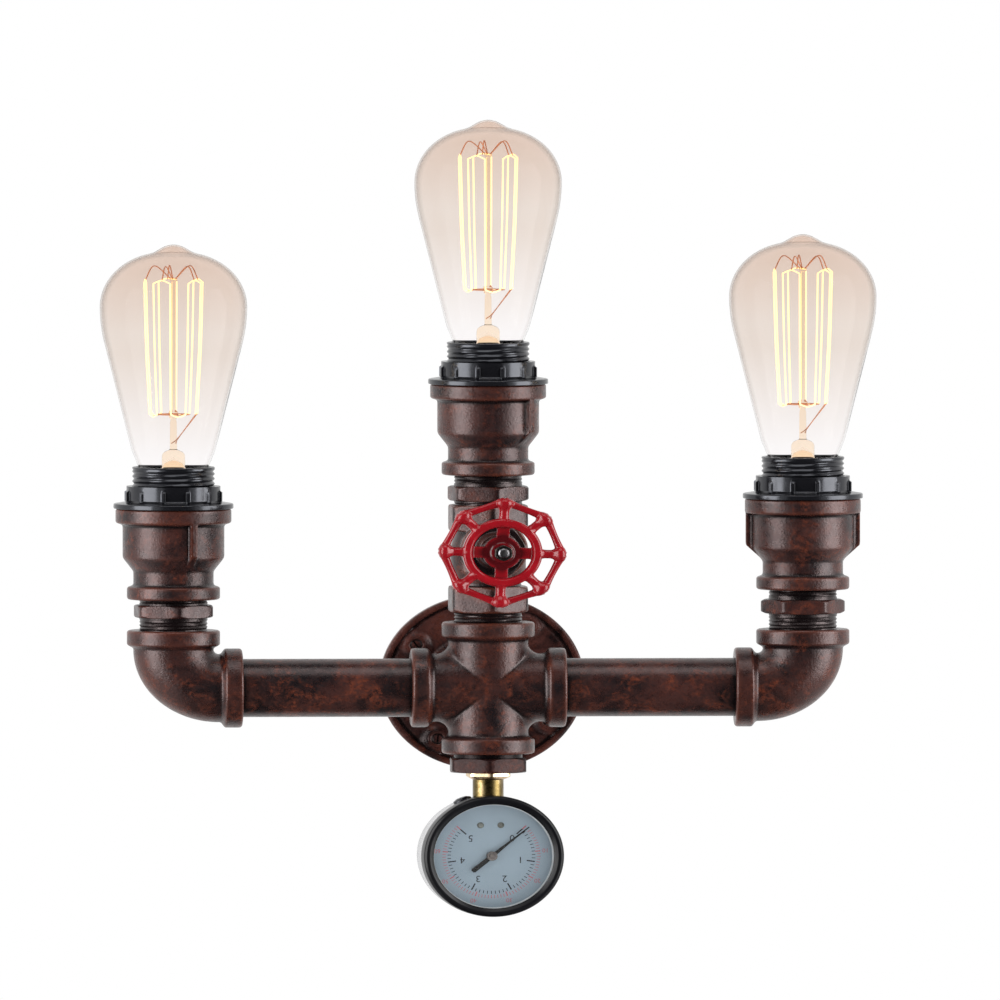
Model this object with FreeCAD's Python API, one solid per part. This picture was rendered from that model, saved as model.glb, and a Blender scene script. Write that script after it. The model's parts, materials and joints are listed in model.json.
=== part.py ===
import FreeCAD, Part
import math
import os

V = FreeCAD.Vector

# Driving dimensions, millimetres and degrees

# The axis of the pipework stands this far out from the wall
stand_off = 58.0
# Each outer lamp stands this far from the middle column
arm_reach = 138.0

# Pipe and the fittings screwed on it
pipe_r = 15.0
pipe_bore_r = 12.5
socket_r = 15.05
body_r = 17.6
band_r = 20.4
band_width = 8.4
band_chamfer = 0.9
grip = 12.0

# Cross fitting
cross_reach = 34.0
cross_bend_r = 23.6
cross_web_r = 17.3
cross_web_depth = 13.5
cross_boss_start = 4.0
cross_boss_r = 24.5
cross_boss_back = 24.0

# Elbows below the outer lamps
elbow_reach = 30.0
elbow_bend_r = 20.0
elbow_bore_stop = 7.0

# Wall flange
flange_r = 45.0
flange_plate = 5.4
flange_lip = 7.6
flange_lip_width = 3.4
flange_hub_height = 22.0
flange_hub_foot_r = 24.5
flange_hub_foot = 9.5
flange_seat = 8.0
screw_circle_r = 35.0
screw_count = 4
screw_hole_r = 2.75
screw_boss_r = 6.4
screw_boss_height = 8.6
screw_boss_flare = 0.8
screw_boss_ease = 0.6
screw_turn = 56.0

# Hex parts of the nipples and the bushing
nipple_flats = 33.0
hex_corner_ease = 0.6

# Levels of each lamp's nipple and reducer above the pipe axis, and how far each hex is turned
left_hex = (36.6, 43.0)
left_hex_turn = 6.0
left_seat = 45.8
left_rib = 19.0
right_hex = (38.1, 45.3)
right_hex_turn = 30.0
right_seat = 50.4
right_rib = 90.0
middle_hex = (96.6, 104.1)
middle_hex_turn = 11.0
middle_seat = 109.8
middle_rib = 48.0

# Reducer that carries a lampholder
reducer_height = 47.0
reducer_low_band = 6.6
reducer_neck_top = 15.4
reducer_cone_top = 22.0
reducer_bell_r = 22.3
reducer_bell_top = 38.6
reducer_band_r = 25.4
reducer_floor = 25.0
reducer_bell_bore_r = 20.0
reducer_rib_width = 3.0
reducer_rib_rise = 1.6
reducer_shoulder = 1.2

# Lampholder, shade ring and contacts
holder_r = 18.2
holder_wall = 1.9
holder_rise = 21.5
holder_floor = 10.5
holder_ease = 0.5
shell_r = 13.9
shell_wall = 0.4
shell_length = 21.0
tongue_width = 5.0
ring_clear = 0.05
ring_flange_r = 26.3
ring_collar_r = 20.6
ring_rib_r = 21.8
ring_height = 11.6
ring_rib_count = 12
ring_rib_width = 1.7
ring_rib_low = 4.2
ring_rib_length = 5.2

# Bulb, measured from the rim of the lampholder
cap_r = 13.1
cap_wall = 0.35
cap_top = -5.0
cap_length = 21.0
cap_hole_r = 6.5
tip_clear = 0.05
glass_wall = 0.8
glass_neck_r = 12.7
glass_neck_low = -9.0
glass_foot_r = 15.8
glass_shoulder = (18.4, 8.4)
bulb_height = 114.6
dome_r = 28.3
dome_x = 4.05
dome_z = 82.4
side_r = 88.0
strand_count = 10
strand_r = 0.3
hook_r = 0.3
strand_low = 27.3
strand_high = 95.0
cage_low_r = 10.7
cage_high_r = 13.1
stem_rod_r = 1.3
stem_pinch = 13.0
stem_top = 97.0

# Valve in the middle column
valve_yaw = 4.0
valve_boss_lift = 5.5
valve_low = 38.9
valve_high = 94.5
valve_hex_height = 13.6
valve_flats = 33.7
valve_grip = 10.0
valve_barrel_r = 15.6
valve_bore_r = 11.0
valve_boss_r = 13.6
valve_boss_front = 24.0
valve_boss_bore_r = 10.2
valve_lip_length = 3.0
bonnet_flats = 25.0
bonnet_hex_turn = 30.0
bonnet_thread = 9.0
bonnet_clear = 0.05
bonnet_hex_front = 31.0
bonnet_web = 27.0
bonnet_neck_r = 9.0
bonnet_front = 37.0
gland_flats = 15.0
gland_turn = 12.0
gland_front = 45.5
stem_r = 3.6
stem_clear = 0.06
stem_inner_end = 16.0
stem_collar_r = 5.9
stem_collar_gap = 0.3
packing_r = 6.2
packing_depth = 5.0

# Handwheel on the valve stem
wheel_turn = -2.3
wheel_back = 49.0
wheel_front = 55.0
wheel_knuckles = 8
wheel_tip_r = 28.2
wheel_ring_r = 17.6
wheel_ring_bore_r = 13.3
wheel_ring_depth = 6.0
wheel_ring_ease = 0.9
wheel_hub_r = 8.6
wheel_hub_front = 52.8
wheel_web_width = 5.8
wheel_web_root = 4.0
spoke_r = 2.25
knuckle_r = 4.3
knuckle_length = 7.0
knuckle_shoulder = 2.6
rim_joint_r = 27.0
rim_bar_r = 1.75
rim_bar_end_r = 2.4
wheel_bore_clear = 0.05
stem_end_r = 2.6
stem_end_rise = 0.6
stem_end_dome = 0.8
wheel_nut_flats = 7.6
wheel_nut_front = 57.6

# Bushing and pressure gauge under the cross
bushing_hex = (-43.6, -36.2)
gauge_yaw = 7.5
gauge_drop = 86.5
gauge_hex_flats = 18.4
gauge_hex_low = -47.0
gauge_hex_neck_r = 6.9
gauge_hex_taper = 2.6
gauge_shank_r = 6.8
gauge_thread_r = 6.5
gauge_thread_clear = 0.05
gauge_thread_top = -31.0
case_r = 30.2
case_back = -11.0
case_front = 12.0
case_wall = 1.2
bezel_r = 31.2
bezel_opening_r = 26.8
bezel_front = 16.0
lens_thickness = 2.0
dial_r = 28.6
dial_level = 6.6
dial_thickness = 0.8
pointer_level = 9.0
pointer_thickness = 0.5
pointer_hub_r = 2.4
pointer_reach = 22.2
pointer_tail = 12.0
pointer_rest = 42.0
arbor_r = 0.9
arbor_clear = 0.06
arbor_front = 10.2
pinion_r = 1.7
tube_sweep = 236.0
tube_start = 15.0
block_half_width = 6.0
block_low = 14.0
plate_thickness = 1.2
plate_levels = (-4.6, 3.2)


def lathe(points):
    """Solid of revolution about Z whose half section is the polygon of points (r, z)."""
    corners = [V(r, 0, z) for r, z in points]
    face = Part.Face(Part.makePolygon(corners + corners[:1]))
    return face.revolve(V(0, 0, 0), V(0, 0, 1), 360)


def joined(shapes):
    """Union of the shapes, taken one after another."""
    whole = shapes[0]
    for shape in shapes[1:]:
        whole = whole.fuse(shape)
    return whole


def tube(outer, inner, low, high):
    """Plain tube about Z."""
    return lathe([(inner, low), (outer, low), (outer, high), (inner, high)])


def rod(radius, low, high):
    """Plain round bar about Z."""
    return Part.makeCylinder(radius, high - low, V(0, 0, low))


def polygon_bar(sides, start_r, end_r, start, end):
    """Bar with a regular polygon for its section, tapered from one point to another."""
    axis = end - start
    rotation = FreeCAD.Rotation(V(0, 0, 1), axis)
    rings = []
    for radius, centre in ((start_r, start), (end_r, end)):
        points = []
        for i in range(sides + 1):
            angle = 2 * math.pi * (i + 0.5) / sides
            spoke = V(radius * math.cos(angle), radius * math.sin(angle), 0)
            points.append(centre + rotation.multVec(spoke))
        rings.append(Part.makePolygon(points))
    return Part.makeLoft(rings, True, True)


def hexagon(flats, low, high, turn=0.0):
    """Hex prism about Z with a corner towards -Y, each corner cut off at both ends."""
    corner = flats / math.sqrt(3)
    points = []
    for i in range(7):
        angle = math.radians(turn - 90 + 60 * i)
        points.append(V(corner * math.cos(angle), corner * math.sin(angle), low))
    prism = Part.Face(Part.makePolygon(points)).extrude(V(0, 0, high - low))
    rise = (corner - flats / 2) * hex_corner_ease
    wide = 2 * corner / math.sqrt(3)
    narrow = 2 * (corner - rise * 1.6) / math.sqrt(3)
    axis_low = V(0, 0, low)
    axis_high = V(0, 0, high)
    ease = V(0, 0, rise)
    cut = joined([
        polygon_bar(6, narrow, wide, axis_low, axis_low + ease),
        polygon_bar(6, wide, wide, axis_low + ease, axis_high - ease),
        polygon_bar(6, wide, narrow, axis_high - ease, axis_high),
    ])
    return prism.common(turned(cut, V(0, 0, 1), turn))


def turned(shape, axis, degrees, centre=None):
    """Copy of the shape turned about an axis."""
    copy = shape.copy()
    copy.rotate(centre or V(0, 0, 0), axis, degrees)
    return copy


def moved(shape, x, y, z):
    """Copy of the shape moved."""
    copy = shape.copy()
    copy.translate(V(x, y, z))
    return copy


def to_front(shape):
    """Turns a shape built on Z so that it faces the room, along -Y."""
    return turned(shape, V(1, 0, 0), 90)


def banded_arm(reach):
    """Outside of one arm of a fitting about Z, from its centre to its banded end."""
    start = reach - band_width
    return lathe([
        (0, 0), (body_r, 0), (body_r, start - band_chamfer),
        (band_r - band_chamfer, start), (band_r, start + band_chamfer),
        (band_r, reach - band_chamfer), (band_r - band_chamfer, reach), (0, reach),
    ])


def port(reach, depth):
    """Socket cut into the end of an arm about Z."""
    return rod(socket_r, reach - depth, reach)


def quarter_bend(section, bend_r):
    """Quarter of a bent bar, from the +X arm to the +Z arm, on a section that stands at bend_r."""
    return Part.Face(Part.Wire(section)).revolve(V(bend_r, 0, bend_r), V(0, 1, 0), 90)


def round_section(radius, bend_r):
    """Circle for a bend, across the +X arm."""
    return Part.makeCircle(radius, V(bend_r, 0, 0), V(1, 0, 0))


def oval_section(half_height, half_depth, bend_r):
    """Ellipse for a bend that is flatter towards the room, across the +X arm."""
    centre = V(bend_r, 0, 0)
    return Part.Ellipse(centre + V(0, 0, half_height), centre + V(0, half_depth, 0), centre).toShape()


def to_arm(shape, name):
    """Turns a shape built on Z onto a named arm."""
    turns = {
        "up": (V(0, 1, 0), 0), "down": (V(0, 1, 0), 180),
        "right": (V(0, 1, 0), 90), "left": (V(0, 1, 0), -90),
        "back": (V(1, 0, 0), -90),
    }
    return turned(shape, *turns[name])


def cross_fitting():
    """Five-way cross: four arms in the plane of the wall and one to the back."""
    names = ["up", "down", "left", "right", "back"]
    outside = [to_arm(banded_arm(cross_reach), name) for name in names]
    web = quarter_bend(oval_section(cross_web_r, cross_web_depth, cross_bend_r), cross_bend_r)
    for i in range(4):
        outside.append(turned(web, V(0, 1, 0), 90 * i))
    root = lathe([
        (0, 0), (cross_boss_r, cross_boss_start), (body_r, cross_boss_back), (0, cross_boss_back),
    ])
    outside.append(to_arm(root, "back"))
    bores = []
    for name in names:
        bores.append(to_arm(port(cross_reach, grip + 1), name))
        bores.append(to_arm(rod(pipe_bore_r, 0, cross_reach), name))
    return joined(outside).cut(joined(bores))


def elbow_fitting():
    """Banded quarter elbow with its arms towards +X and +Z."""
    arm = banded_arm(elbow_reach)
    cropped = arm.cut(rod(band_r, 0, elbow_bend_r))
    bend = quarter_bend(round_section(body_r, elbow_bend_r), elbow_bend_r)
    fitting = joined([bend, cropped, to_arm(cropped, "right")])
    bore = rod(pipe_bore_r, elbow_bore_stop, elbow_reach)
    cutters = [bore, to_arm(bore, "right")]
    cutters.append(port(elbow_reach, grip))
    cutters.append(to_arm(port(elbow_reach, grip), "right"))
    return fitting.cut(joined(cutters))


def hex_nipple(hex_levels, turn, low, high):
    """Hex nipple about Z between two thread ends."""
    thread = tube(pipe_r, pipe_bore_r, low, high)
    collar = hexagon(nipple_flats, *hex_levels, turn).cut(rod(pipe_bore_r, *hex_levels))
    return collar.fuse(thread)


def wall_flange():
    """Cast wall flange with a raised lip, a threaded hub and four screw bosses."""
    lip_in = flange_r - flange_lip_width
    ease = band_chamfer
    disc = lathe([
        (pipe_bore_r, 0), (flange_r, 0), (flange_r, flange_lip - ease), (flange_r - ease, flange_lip),
        (lip_in + ease, flange_lip), (lip_in - ease, flange_plate), (flange_hub_foot_r, flange_plate),
        (band_r, flange_hub_foot), (band_r, flange_hub_height - ease), (band_r - ease, flange_hub_height),
        (socket_r, flange_hub_height), (socket_r, flange_seat), (pipe_bore_r, flange_seat),
    ])
    boss = lathe([
        (0, 0), (screw_boss_r + screw_boss_flare, 0), (screw_boss_r, screw_boss_height - screw_boss_ease),
        (screw_boss_r - screw_boss_ease, screw_boss_height), (0, screw_boss_height),
    ])
    bosses = []
    holes = []
    for i in range(screw_count):
        angle = math.radians(screw_turn + 360 / screw_count * i)
        x = screw_circle_r * math.cos(angle)
        y = screw_circle_r * math.sin(angle)
        bosses.append(moved(boss, x, y, 0))
        holes.append(moved(rod(screw_hole_r, -1, screw_boss_height + 1), x, y, 0))
    return to_front(joined([disc] + bosses).cut(joined(holes)))


def reducer(rib_angle):
    """Banded bell reducer about Z from its lower face, with two casting ribs."""
    top = reducer_height
    ease = band_chamfer
    bell_r = reducer_bell_r
    shoulder = reducer_shoulder
    outside = lathe([
        (0, 0), (band_r - ease, 0), (band_r, ease), (band_r, reducer_low_band - ease),
        (band_r - ease, reducer_low_band), (body_r, reducer_low_band + ease),
        (body_r, reducer_neck_top),
        (bell_r - shoulder, reducer_cone_top - shoulder), (bell_r, reducer_cone_top + shoulder),
        (bell_r, reducer_bell_top - ease), (reducer_band_r - ease, reducer_bell_top),
        (reducer_band_r, reducer_bell_top + ease), (reducer_band_r, top - ease),
        (reducer_band_r - ease, top), (0, top),
    ])
    half = reducer_rib_width / 2
    rise = reducer_rib_rise
    inner = body_r - rise
    outer = reducer_band_r - rise / 2
    rib_top = top - reducer_rib_width
    rib = Part.Face(Part.makePolygon([
        V(inner, -half, reducer_neck_top - rise), V(body_r + rise, -half, reducer_neck_top),
        V(outer, -half, reducer_cone_top + rise), V(outer, -half, rib_top), V(inner, -half, rib_top),
        V(inner, -half, reducer_neck_top - rise),
    ])).extrude(V(0, reducer_rib_width, 0))
    ribs = [turned(rib, V(0, 0, 1), rib_angle - 90), turned(rib, V(0, 0, 1), rib_angle + 90)]
    hollow = joined([
        rod(socket_r, 0, grip), rod(pipe_bore_r, 0, top),
        rod(reducer_bell_bore_r, reducer_floor, top),
    ])
    return joined([outside] + ribs).cut(hollow)


def lampholder():
    """Lampholder about Z, zero at the reducer's top face: open above, its floor below."""
    low = reducer_floor - reducer_height
    seat = low + holder_floor
    throat = seat + shell_length
    inner = holder_r - holder_wall
    return lathe([
        (0, low), (holder_r, low), (holder_r, holder_rise - holder_ease),
        (holder_r - holder_ease, holder_rise), (inner, holder_rise), (inner, throat),
        (shell_r, throat), (shell_r, seat), (0, seat),
    ])


def shade_ring():
    """Ring nut with a flange and ribs, about Z, resting on the reducer's top face."""
    bore = holder_r + ring_clear
    ring = lathe([
        (bore, 0), (ring_flange_r, 0), (ring_flange_r, 1.3), (ring_collar_r + 1.6, 3.8),
        (ring_collar_r, 4.6), (ring_collar_r, ring_height - 0.7), (ring_collar_r - 0.7, ring_height),
        (bore, ring_height),
    ])
    ribs = []
    root = (bore + ring_collar_r) / 2
    for i in range(ring_rib_count):
        corner = V(root, -ring_rib_width / 2, ring_rib_low)
        rib = Part.makeBox(ring_rib_r - root, ring_rib_width, ring_rib_length, corner)
        ribs.append(turned(rib, V(0, 0, 1), 360 / ring_rib_count * (i + 0.5)))
    return joined([ring] + ribs)


def screw_shell():
    """Metal screw shell pressed in the lampholder."""
    low = reducer_floor - reducer_height + holder_floor
    return tube(shell_r, shell_r - shell_wall, low, low + shell_length)


def centre_contact():
    """Spring tongue at the bottom of the lampholder, bent up under the bulb's tip."""
    low = reducer_floor - reducer_height + holder_floor
    outline = [
        (-8, 0), (7, 0), (7, 0.6), (-5.6, 0.6), (3.2, 2.9), (4, 3.3), (3.6, 3.9), (2.6, 3.5), (-8, 0.6),
    ]
    points = [V(x, -tongue_width / 2, low + z) for x, z in outline]
    return Part.Face(Part.makePolygon(points + points[:1])).extrude(V(0, tongue_width, 0))


def round_points(centre, radius, start, end, steps):
    """Points along an arc of a lathe outline, from one angle to another, in degrees."""
    points = []
    for i in range(steps + 1):
        angle = math.radians(start + (end - start) * i / steps)
        points.append((centre[0] + radius * math.cos(angle), centre[1] + radius * math.sin(angle)))
    return points


def bulb_glass():
    """Blown glass envelope about Z, zero at the lampholder's rim, open at the neck.

    The dome follows a circle beside the axis, the side a wider circle and then a long cone,
    and the neck seats on the cap. The sealed tip is thicker than the wall.
    """
    wall = glass_wall
    dome = (dome_x, dome_z)
    side = (dome_x + dome_r - side_r, dome_z)
    outer = [
        (0, bulb_height), (3.4, bulb_height - 0.7), (6.4, bulb_height - 2.5),
        (8.4, bulb_height - 3.9),
    ]
    outer += round_points(dome, dome_r, 76, 0, 7)
    outer += round_points(side, side_r, -5, -11.5, 2)
    outer += [glass_shoulder, (glass_foot_r, 1), (cap_r, cap_top), (glass_neck_r, cap_top)]
    outer.append((glass_neck_r, glass_neck_low))
    inner = [(glass_neck_r - wall, glass_neck_low), (glass_neck_r - wall, cap_top - 0.5)]
    inner.append((glass_foot_r - wall, 1.2))
    inner += round_points(side, side_r - wall, -11.5, -5, 1)
    inner += round_points(dome, dome_r - wall, 0, 82, 5)
    inner.append((0, dome_z + dome_r - wall))
    return lathe(outer + inner)


def bulb_cap():
    """Metal screw cap of the bulb about Z, with its cone drawn in to the insulator."""
    low = cap_top - cap_length
    inner = cap_r - cap_wall
    return lathe([
        (inner, cap_top), (cap_r, cap_top), (cap_r, low + 3), (cap_hole_r + 0.5, low),
        (cap_hole_r, low), (cap_hole_r, low + 0.3), (inner, low + 3.3),
    ])


def bulb_tip():
    """Insulator disc and solder contact in the hole of the bulb's cap."""
    low = cap_top - cap_length
    disc_r = cap_hole_r - tip_clear
    return lathe([
        (0, low + 1), (disc_r, low + 1), (disc_r, low), (4.4, low - 1.6), (4.2, low - 2.4),
        (0, low - 2.8),
    ])


def bulb_stem():
    """Glass stem: flare sealed to the neck, pinch and centre rod."""
    low = glass_neck_low
    rim = glass_neck_r - glass_wall
    return lathe([
        (0, 4), (rim - 3, low), (rim, low), (rim, low + 1), (6.4, low + 5.5), (3.2, 8),
        (2.6, stem_pinch), (stem_rod_r, stem_pinch + 2), (stem_rod_r, stem_top), (0, stem_top + 1),
    ])


def cage_corner(index, level):
    """Point of the filament's cage where a strand meets a hook."""
    angle = math.radians(360 / strand_count * (index + 0.25))
    radius = cage_high_r if level == strand_high else cage_low_r
    return V(radius * math.cos(angle), radius * math.sin(angle), level)


def bulb_filament():
    """Cage of strands strung up and down, the hooks that hold it and its two leads."""
    corners = []
    for i in range(strand_count):
        levels = (strand_high, strand_low) if i % 2 else (strand_low, strand_high)
        corners += [cage_corner(i, level) for level in levels]
    pieces = []
    for start, end in zip(corners, corners[1:]):
        reach = (end - start).normalize() * strand_r
        pieces.append(polygon_bar(4, strand_r, strand_r, start - reach, end + reach))
    for i in range(1, len(corners) - 1, 2):
        middle = (corners[i] + corners[i + 1]) * 0.5
        root = V(middle.x, middle.y, 0).normalize() * stem_rod_r
        pieces.append(polygon_bar(4, hook_r, hook_r, root + V(0, 0, middle.z), middle))
    for corner in (corners[0], corners[-1]):
        root = V(corner.x, corner.y, 0).normalize() * (stem_rod_r + 1)
        pieces.append(polygon_bar(4, hook_r, hook_r, root + V(0, 0, stem_pinch), corner))
    return joined(pieces)


def valve_place(shape):
    """Puts a shape built on the column's own axis in the valve's turned position."""
    return moved(turned(shape, V(0, 0, 1), valve_yaw), 0, -stand_off, 0)


def valve_axis_level():
    """Height of the stem's axis, a little above the middle of the valve."""
    return (valve_low + valve_high) / 2 + valve_boss_lift


def on_stem(shape):
    """Puts a shape built along Z on the valve's stem axis, facing the room."""
    return valve_place(moved(to_front(shape), 0, 0, valve_axis_level()))


def valve_body():
    """Straight-through valve body with hex ends and a boss for the bonnet."""
    low_top = valve_low + valve_hex_height
    high_low = valve_high - valve_hex_height
    middle = (valve_low + valve_high) / 2
    neck_r = valve_barrel_r - 1.6
    belly_r = valve_barrel_r + 0.6
    barrel = lathe([
        (0, low_top - 1), (neck_r, low_top - 1), (neck_r, low_top + 1.5), (belly_r, middle - 5),
        (belly_r, middle + 5), (neck_r, high_low - 1.5), (neck_r, high_low + 1), (0, high_low + 1),
    ])
    lower = hexagon(valve_flats, valve_low, low_top)
    upper = hexagon(valve_flats, high_low, valve_high)
    lip = valve_boss_r + 1.2
    boss = lathe([
        (0, 0), (valve_boss_r, 0), (valve_boss_r, valve_boss_front - valve_lip_length - 0.5),
        (lip, valve_boss_front - valve_lip_length), (lip, valve_boss_front), (0, valve_boss_front),
    ])
    level = valve_axis_level()
    chamber = moved(to_front(rod(valve_boss_bore_r, 0, valve_boss_front)), 0, 0, level)
    hollow = joined([
        rod(valve_bore_r, valve_low, valve_high),
        rod(socket_r, valve_low, valve_low + valve_grip),
        rod(socket_r, valve_high - valve_grip, valve_high), chamber,
    ])
    boss = moved(to_front(boss), 0, 0, level)
    return valve_place(joined([barrel, lower, upper, boss]).cut(hollow))


def valve_bonnet():
    """Bonnet screwed in the body's boss: thread, hex and neck round the stem."""
    bore = stem_r + stem_clear
    thread_low = valve_boss_front - bonnet_thread
    thread = tube(valve_boss_bore_r - bonnet_clear, packing_r, thread_low, valve_boss_front)
    head = hexagon(bonnet_flats, valve_boss_front, bonnet_hex_front, bonnet_hex_turn).cut(
        rod(packing_r, valve_boss_front, bonnet_hex_front))
    neck = lathe([
        (bore, bonnet_web), (packing_r + 1, bonnet_web), (bonnet_neck_r, bonnet_hex_front - 1),
        (bonnet_neck_r - 0.8, bonnet_front), (packing_r, bonnet_front),
        (packing_r, bonnet_front - packing_depth), (bore, bonnet_front - packing_depth),
    ])
    return on_stem(joined([thread, head, neck]))


def gland_packing():
    """Soft packing ring squeezed round the stem."""
    low = bonnet_front - packing_depth
    return on_stem(tube(packing_r, stem_r + stem_clear, low, bonnet_front - 1))


def gland_nut():
    """Hex gland nut that follows the packing down the bonnet's neck."""
    head = hexagon(gland_flats, bonnet_front, gland_front, gland_turn)
    follower = rod(packing_r, bonnet_front - 1, bonnet_front)
    return on_stem(head.fuse(follower).cut(rod(stem_r + stem_clear, bonnet_front - 1, gland_front)))


def valve_stem():
    """Stem with a thrust collar inside the bonnet and a flatted end in the wheel."""
    collar_front = bonnet_web - stem_collar_gap
    shaft = lathe([
        (0, stem_inner_end), (stem_r, stem_inner_end), (stem_r, collar_front - 3),
        (stem_collar_r, collar_front - 3), (stem_collar_r, collar_front), (stem_r, collar_front),
        (stem_r, wheel_back), (stem_end_r, wheel_back), (stem_end_r, wheel_nut_front + stem_end_rise),
        (0, wheel_nut_front + stem_end_rise + stem_end_dome),
    ])
    return on_stem(shaft)


def wheel_rim(level):
    """Eight knuckled spokes and the drawn-in bars between their tips."""
    pieces = []
    tips = []
    for i in range(wheel_knuckles):
        angle = 2 * math.pi / wheel_knuckles * i
        tips.append(V(math.cos(angle), math.sin(angle), 0))
    lift = V(0, 0, level)
    for i, tip in enumerate(tips):
        after = tips[(i + 1) % wheel_knuckles]
        root = tip * (wheel_ring_r - wheel_ring_ease) + lift
        neck = tip * (wheel_tip_r - knuckle_length) + lift
        shoulder = tip * (wheel_tip_r - knuckle_shoulder) + lift
        end = tip * wheel_tip_r + lift
        joint = tip * rim_joint_r + lift
        next_joint = after * rim_joint_r + lift
        waist = (joint + next_joint) * 0.5
        pieces.append(polygon_bar(8, spoke_r, spoke_r, root, neck))
        pieces.append(polygon_bar(8, spoke_r, knuckle_r, neck, shoulder))
        pieces.append(polygon_bar(8, knuckle_r, rim_bar_end_r, shoulder, end))
        pieces.append(polygon_bar(8, rim_bar_end_r, rim_bar_r, joint, waist))
        pieces.append(polygon_bar(8, rim_bar_r, rim_bar_end_r, waist, next_joint))
    return pieces


def handwheel():
    """Cast wheel: knuckled rim, spokes, an inner ring and a dished hub on four webs."""
    low = wheel_front - wheel_ring_depth
    level = wheel_front - wheel_ring_depth / 2
    ease = wheel_ring_ease
    ring = lathe([
        (wheel_ring_bore_r, low + ease), (wheel_ring_bore_r + ease, low),
        (wheel_ring_r - ease, low), (wheel_ring_r, low + ease), (wheel_ring_r, wheel_front - ease),
        (wheel_ring_r - ease, wheel_front), (wheel_ring_bore_r + ease, wheel_front),
        (wheel_ring_bore_r, wheel_front - ease),
    ])
    hub = lathe([
        (0, wheel_back), (wheel_hub_r, wheel_back), (wheel_hub_r, wheel_hub_front - ease),
        (wheel_hub_r - ease, wheel_hub_front), (0, wheel_hub_front),
    ])
    half = wheel_web_width / 2
    inner = wheel_web_root
    outer = wheel_ring_bore_r + ease
    web = Part.Face(Part.makePolygon([
        V(inner, -half, wheel_back), V(inner, -half, wheel_hub_front - ease),
        V(outer, -half, level + ease), V(outer, -half, low + ease), V(inner, -half, wheel_back),
    ])).extrude(V(0, wheel_web_width, 0))
    webs = [turned(web, V(0, 0, 1), 90 * i) for i in range(4)]
    wheel = joined([ring, hub] + webs + wheel_rim(level))
    wheel = wheel.cut(rod(stem_end_r + wheel_bore_clear, wheel_back - 1, wheel_front + 1))
    return on_stem(turned(wheel, V(0, 0, 1), wheel_turn))


def wheel_nut():
    """Nut that holds the wheel on its stem."""
    nut = hexagon(wheel_nut_flats, wheel_hub_front, wheel_nut_front)
    bore = rod(stem_end_r + wheel_bore_clear, wheel_hub_front - 1, wheel_nut_front + 1)
    return on_stem(nut.cut(bore))


def gauge_place(shape):
    """Puts a shape built along Z on the gauge's own axis, facing the room."""
    facing = moved(to_front(shape), 0, 0, -gauge_drop)
    return moved(turned(facing, V(0, 0, 1), gauge_yaw), 0, -stand_off, 0)


def hex_bushing():
    """Hex bushing that reduces the cross's lower port to the gauge's thread."""
    bore_r = gauge_thread_r + gauge_thread_clear
    male = tube(pipe_r, bore_r, bushing_hex[1], grip + 1 - cross_reach)
    head = hexagon(nipple_flats, *bushing_hex).cut(rod(bore_r, *bushing_hex))
    return moved(head.fuse(male), 0, -stand_off, 0)


def gauge_socket():
    """Brass socket of the gauge: thread, hex, shank and the block inside the case."""
    thread = lathe([
        (0, bushing_hex[0]), (gauge_thread_r, bushing_hex[0]), (gauge_thread_r, gauge_thread_top - 1),
        (gauge_thread_r - 1, gauge_thread_top), (0, gauge_thread_top),
    ])
    taper_top = gauge_hex_low + gauge_hex_taper
    taper = lathe([
        (0, gauge_hex_low), (gauge_hex_neck_r, gauge_hex_low), (gauge_hex_flats, taper_top),
        (gauge_hex_flats, bushing_hex[0]), (0, bushing_hex[0]),
    ])
    head = hexagon(gauge_hex_flats, gauge_hex_low, bushing_hex[0]).common(taper)
    shank = rod(gauge_shank_r, case_r - gauge_drop - case_wall - 0.2, gauge_hex_low)
    back = plate_levels[0] + plate_thickness
    front = plate_levels[1]
    block = Part.makeBox(
        2 * block_half_width, front - back, case_r - case_wall - block_low,
        V(-block_half_width, -front, block_low - gauge_drop))
    whole = joined([thread, head, shank, block])
    return moved(turned(whole, V(0, 0, 1), gauge_yaw), 0, -stand_off, 0)


def gauge_case():
    """Drawn steel case, open at the front, with a hole for the shank."""
    inner = case_r - case_wall
    cup = lathe([
        (0, case_back), (case_r - 2, case_back), (case_r, case_back + 2), (case_r, case_front),
        (inner, case_front), (inner, case_back + 2.4), (inner - 1.2, case_back + case_wall),
        (0, case_back + case_wall),
    ])
    hole = turned(rod(gauge_shank_r, case_r - 6, case_r + 4), V(1, 0, 0), -90)
    return gauge_place(cup.cut(hole))


def gauge_bezel():
    """Bezel ring pressed over the case, holding the lens."""
    lens_front = case_front + lens_thickness
    return gauge_place(lathe([
        (case_r, case_front - 5), (bezel_r, case_front - 5), (bezel_r, bezel_front - 1.4),
        (bezel_r - 1.6, bezel_front), (bezel_opening_r, lens_front + 0.6),
        (bezel_opening_r, lens_front), (case_r, lens_front),
    ]))


def gauge_lens():
    """Flat window resting on the case's edge under the bezel."""
    return gauge_place(rod(case_r, case_front, case_front + lens_thickness))


def gauge_dial():
    """Dial plate with a hole for the arbor."""
    return gauge_place(tube(dial_r, arbor_r + 0.6, dial_level, dial_level + dial_thickness))


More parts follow.
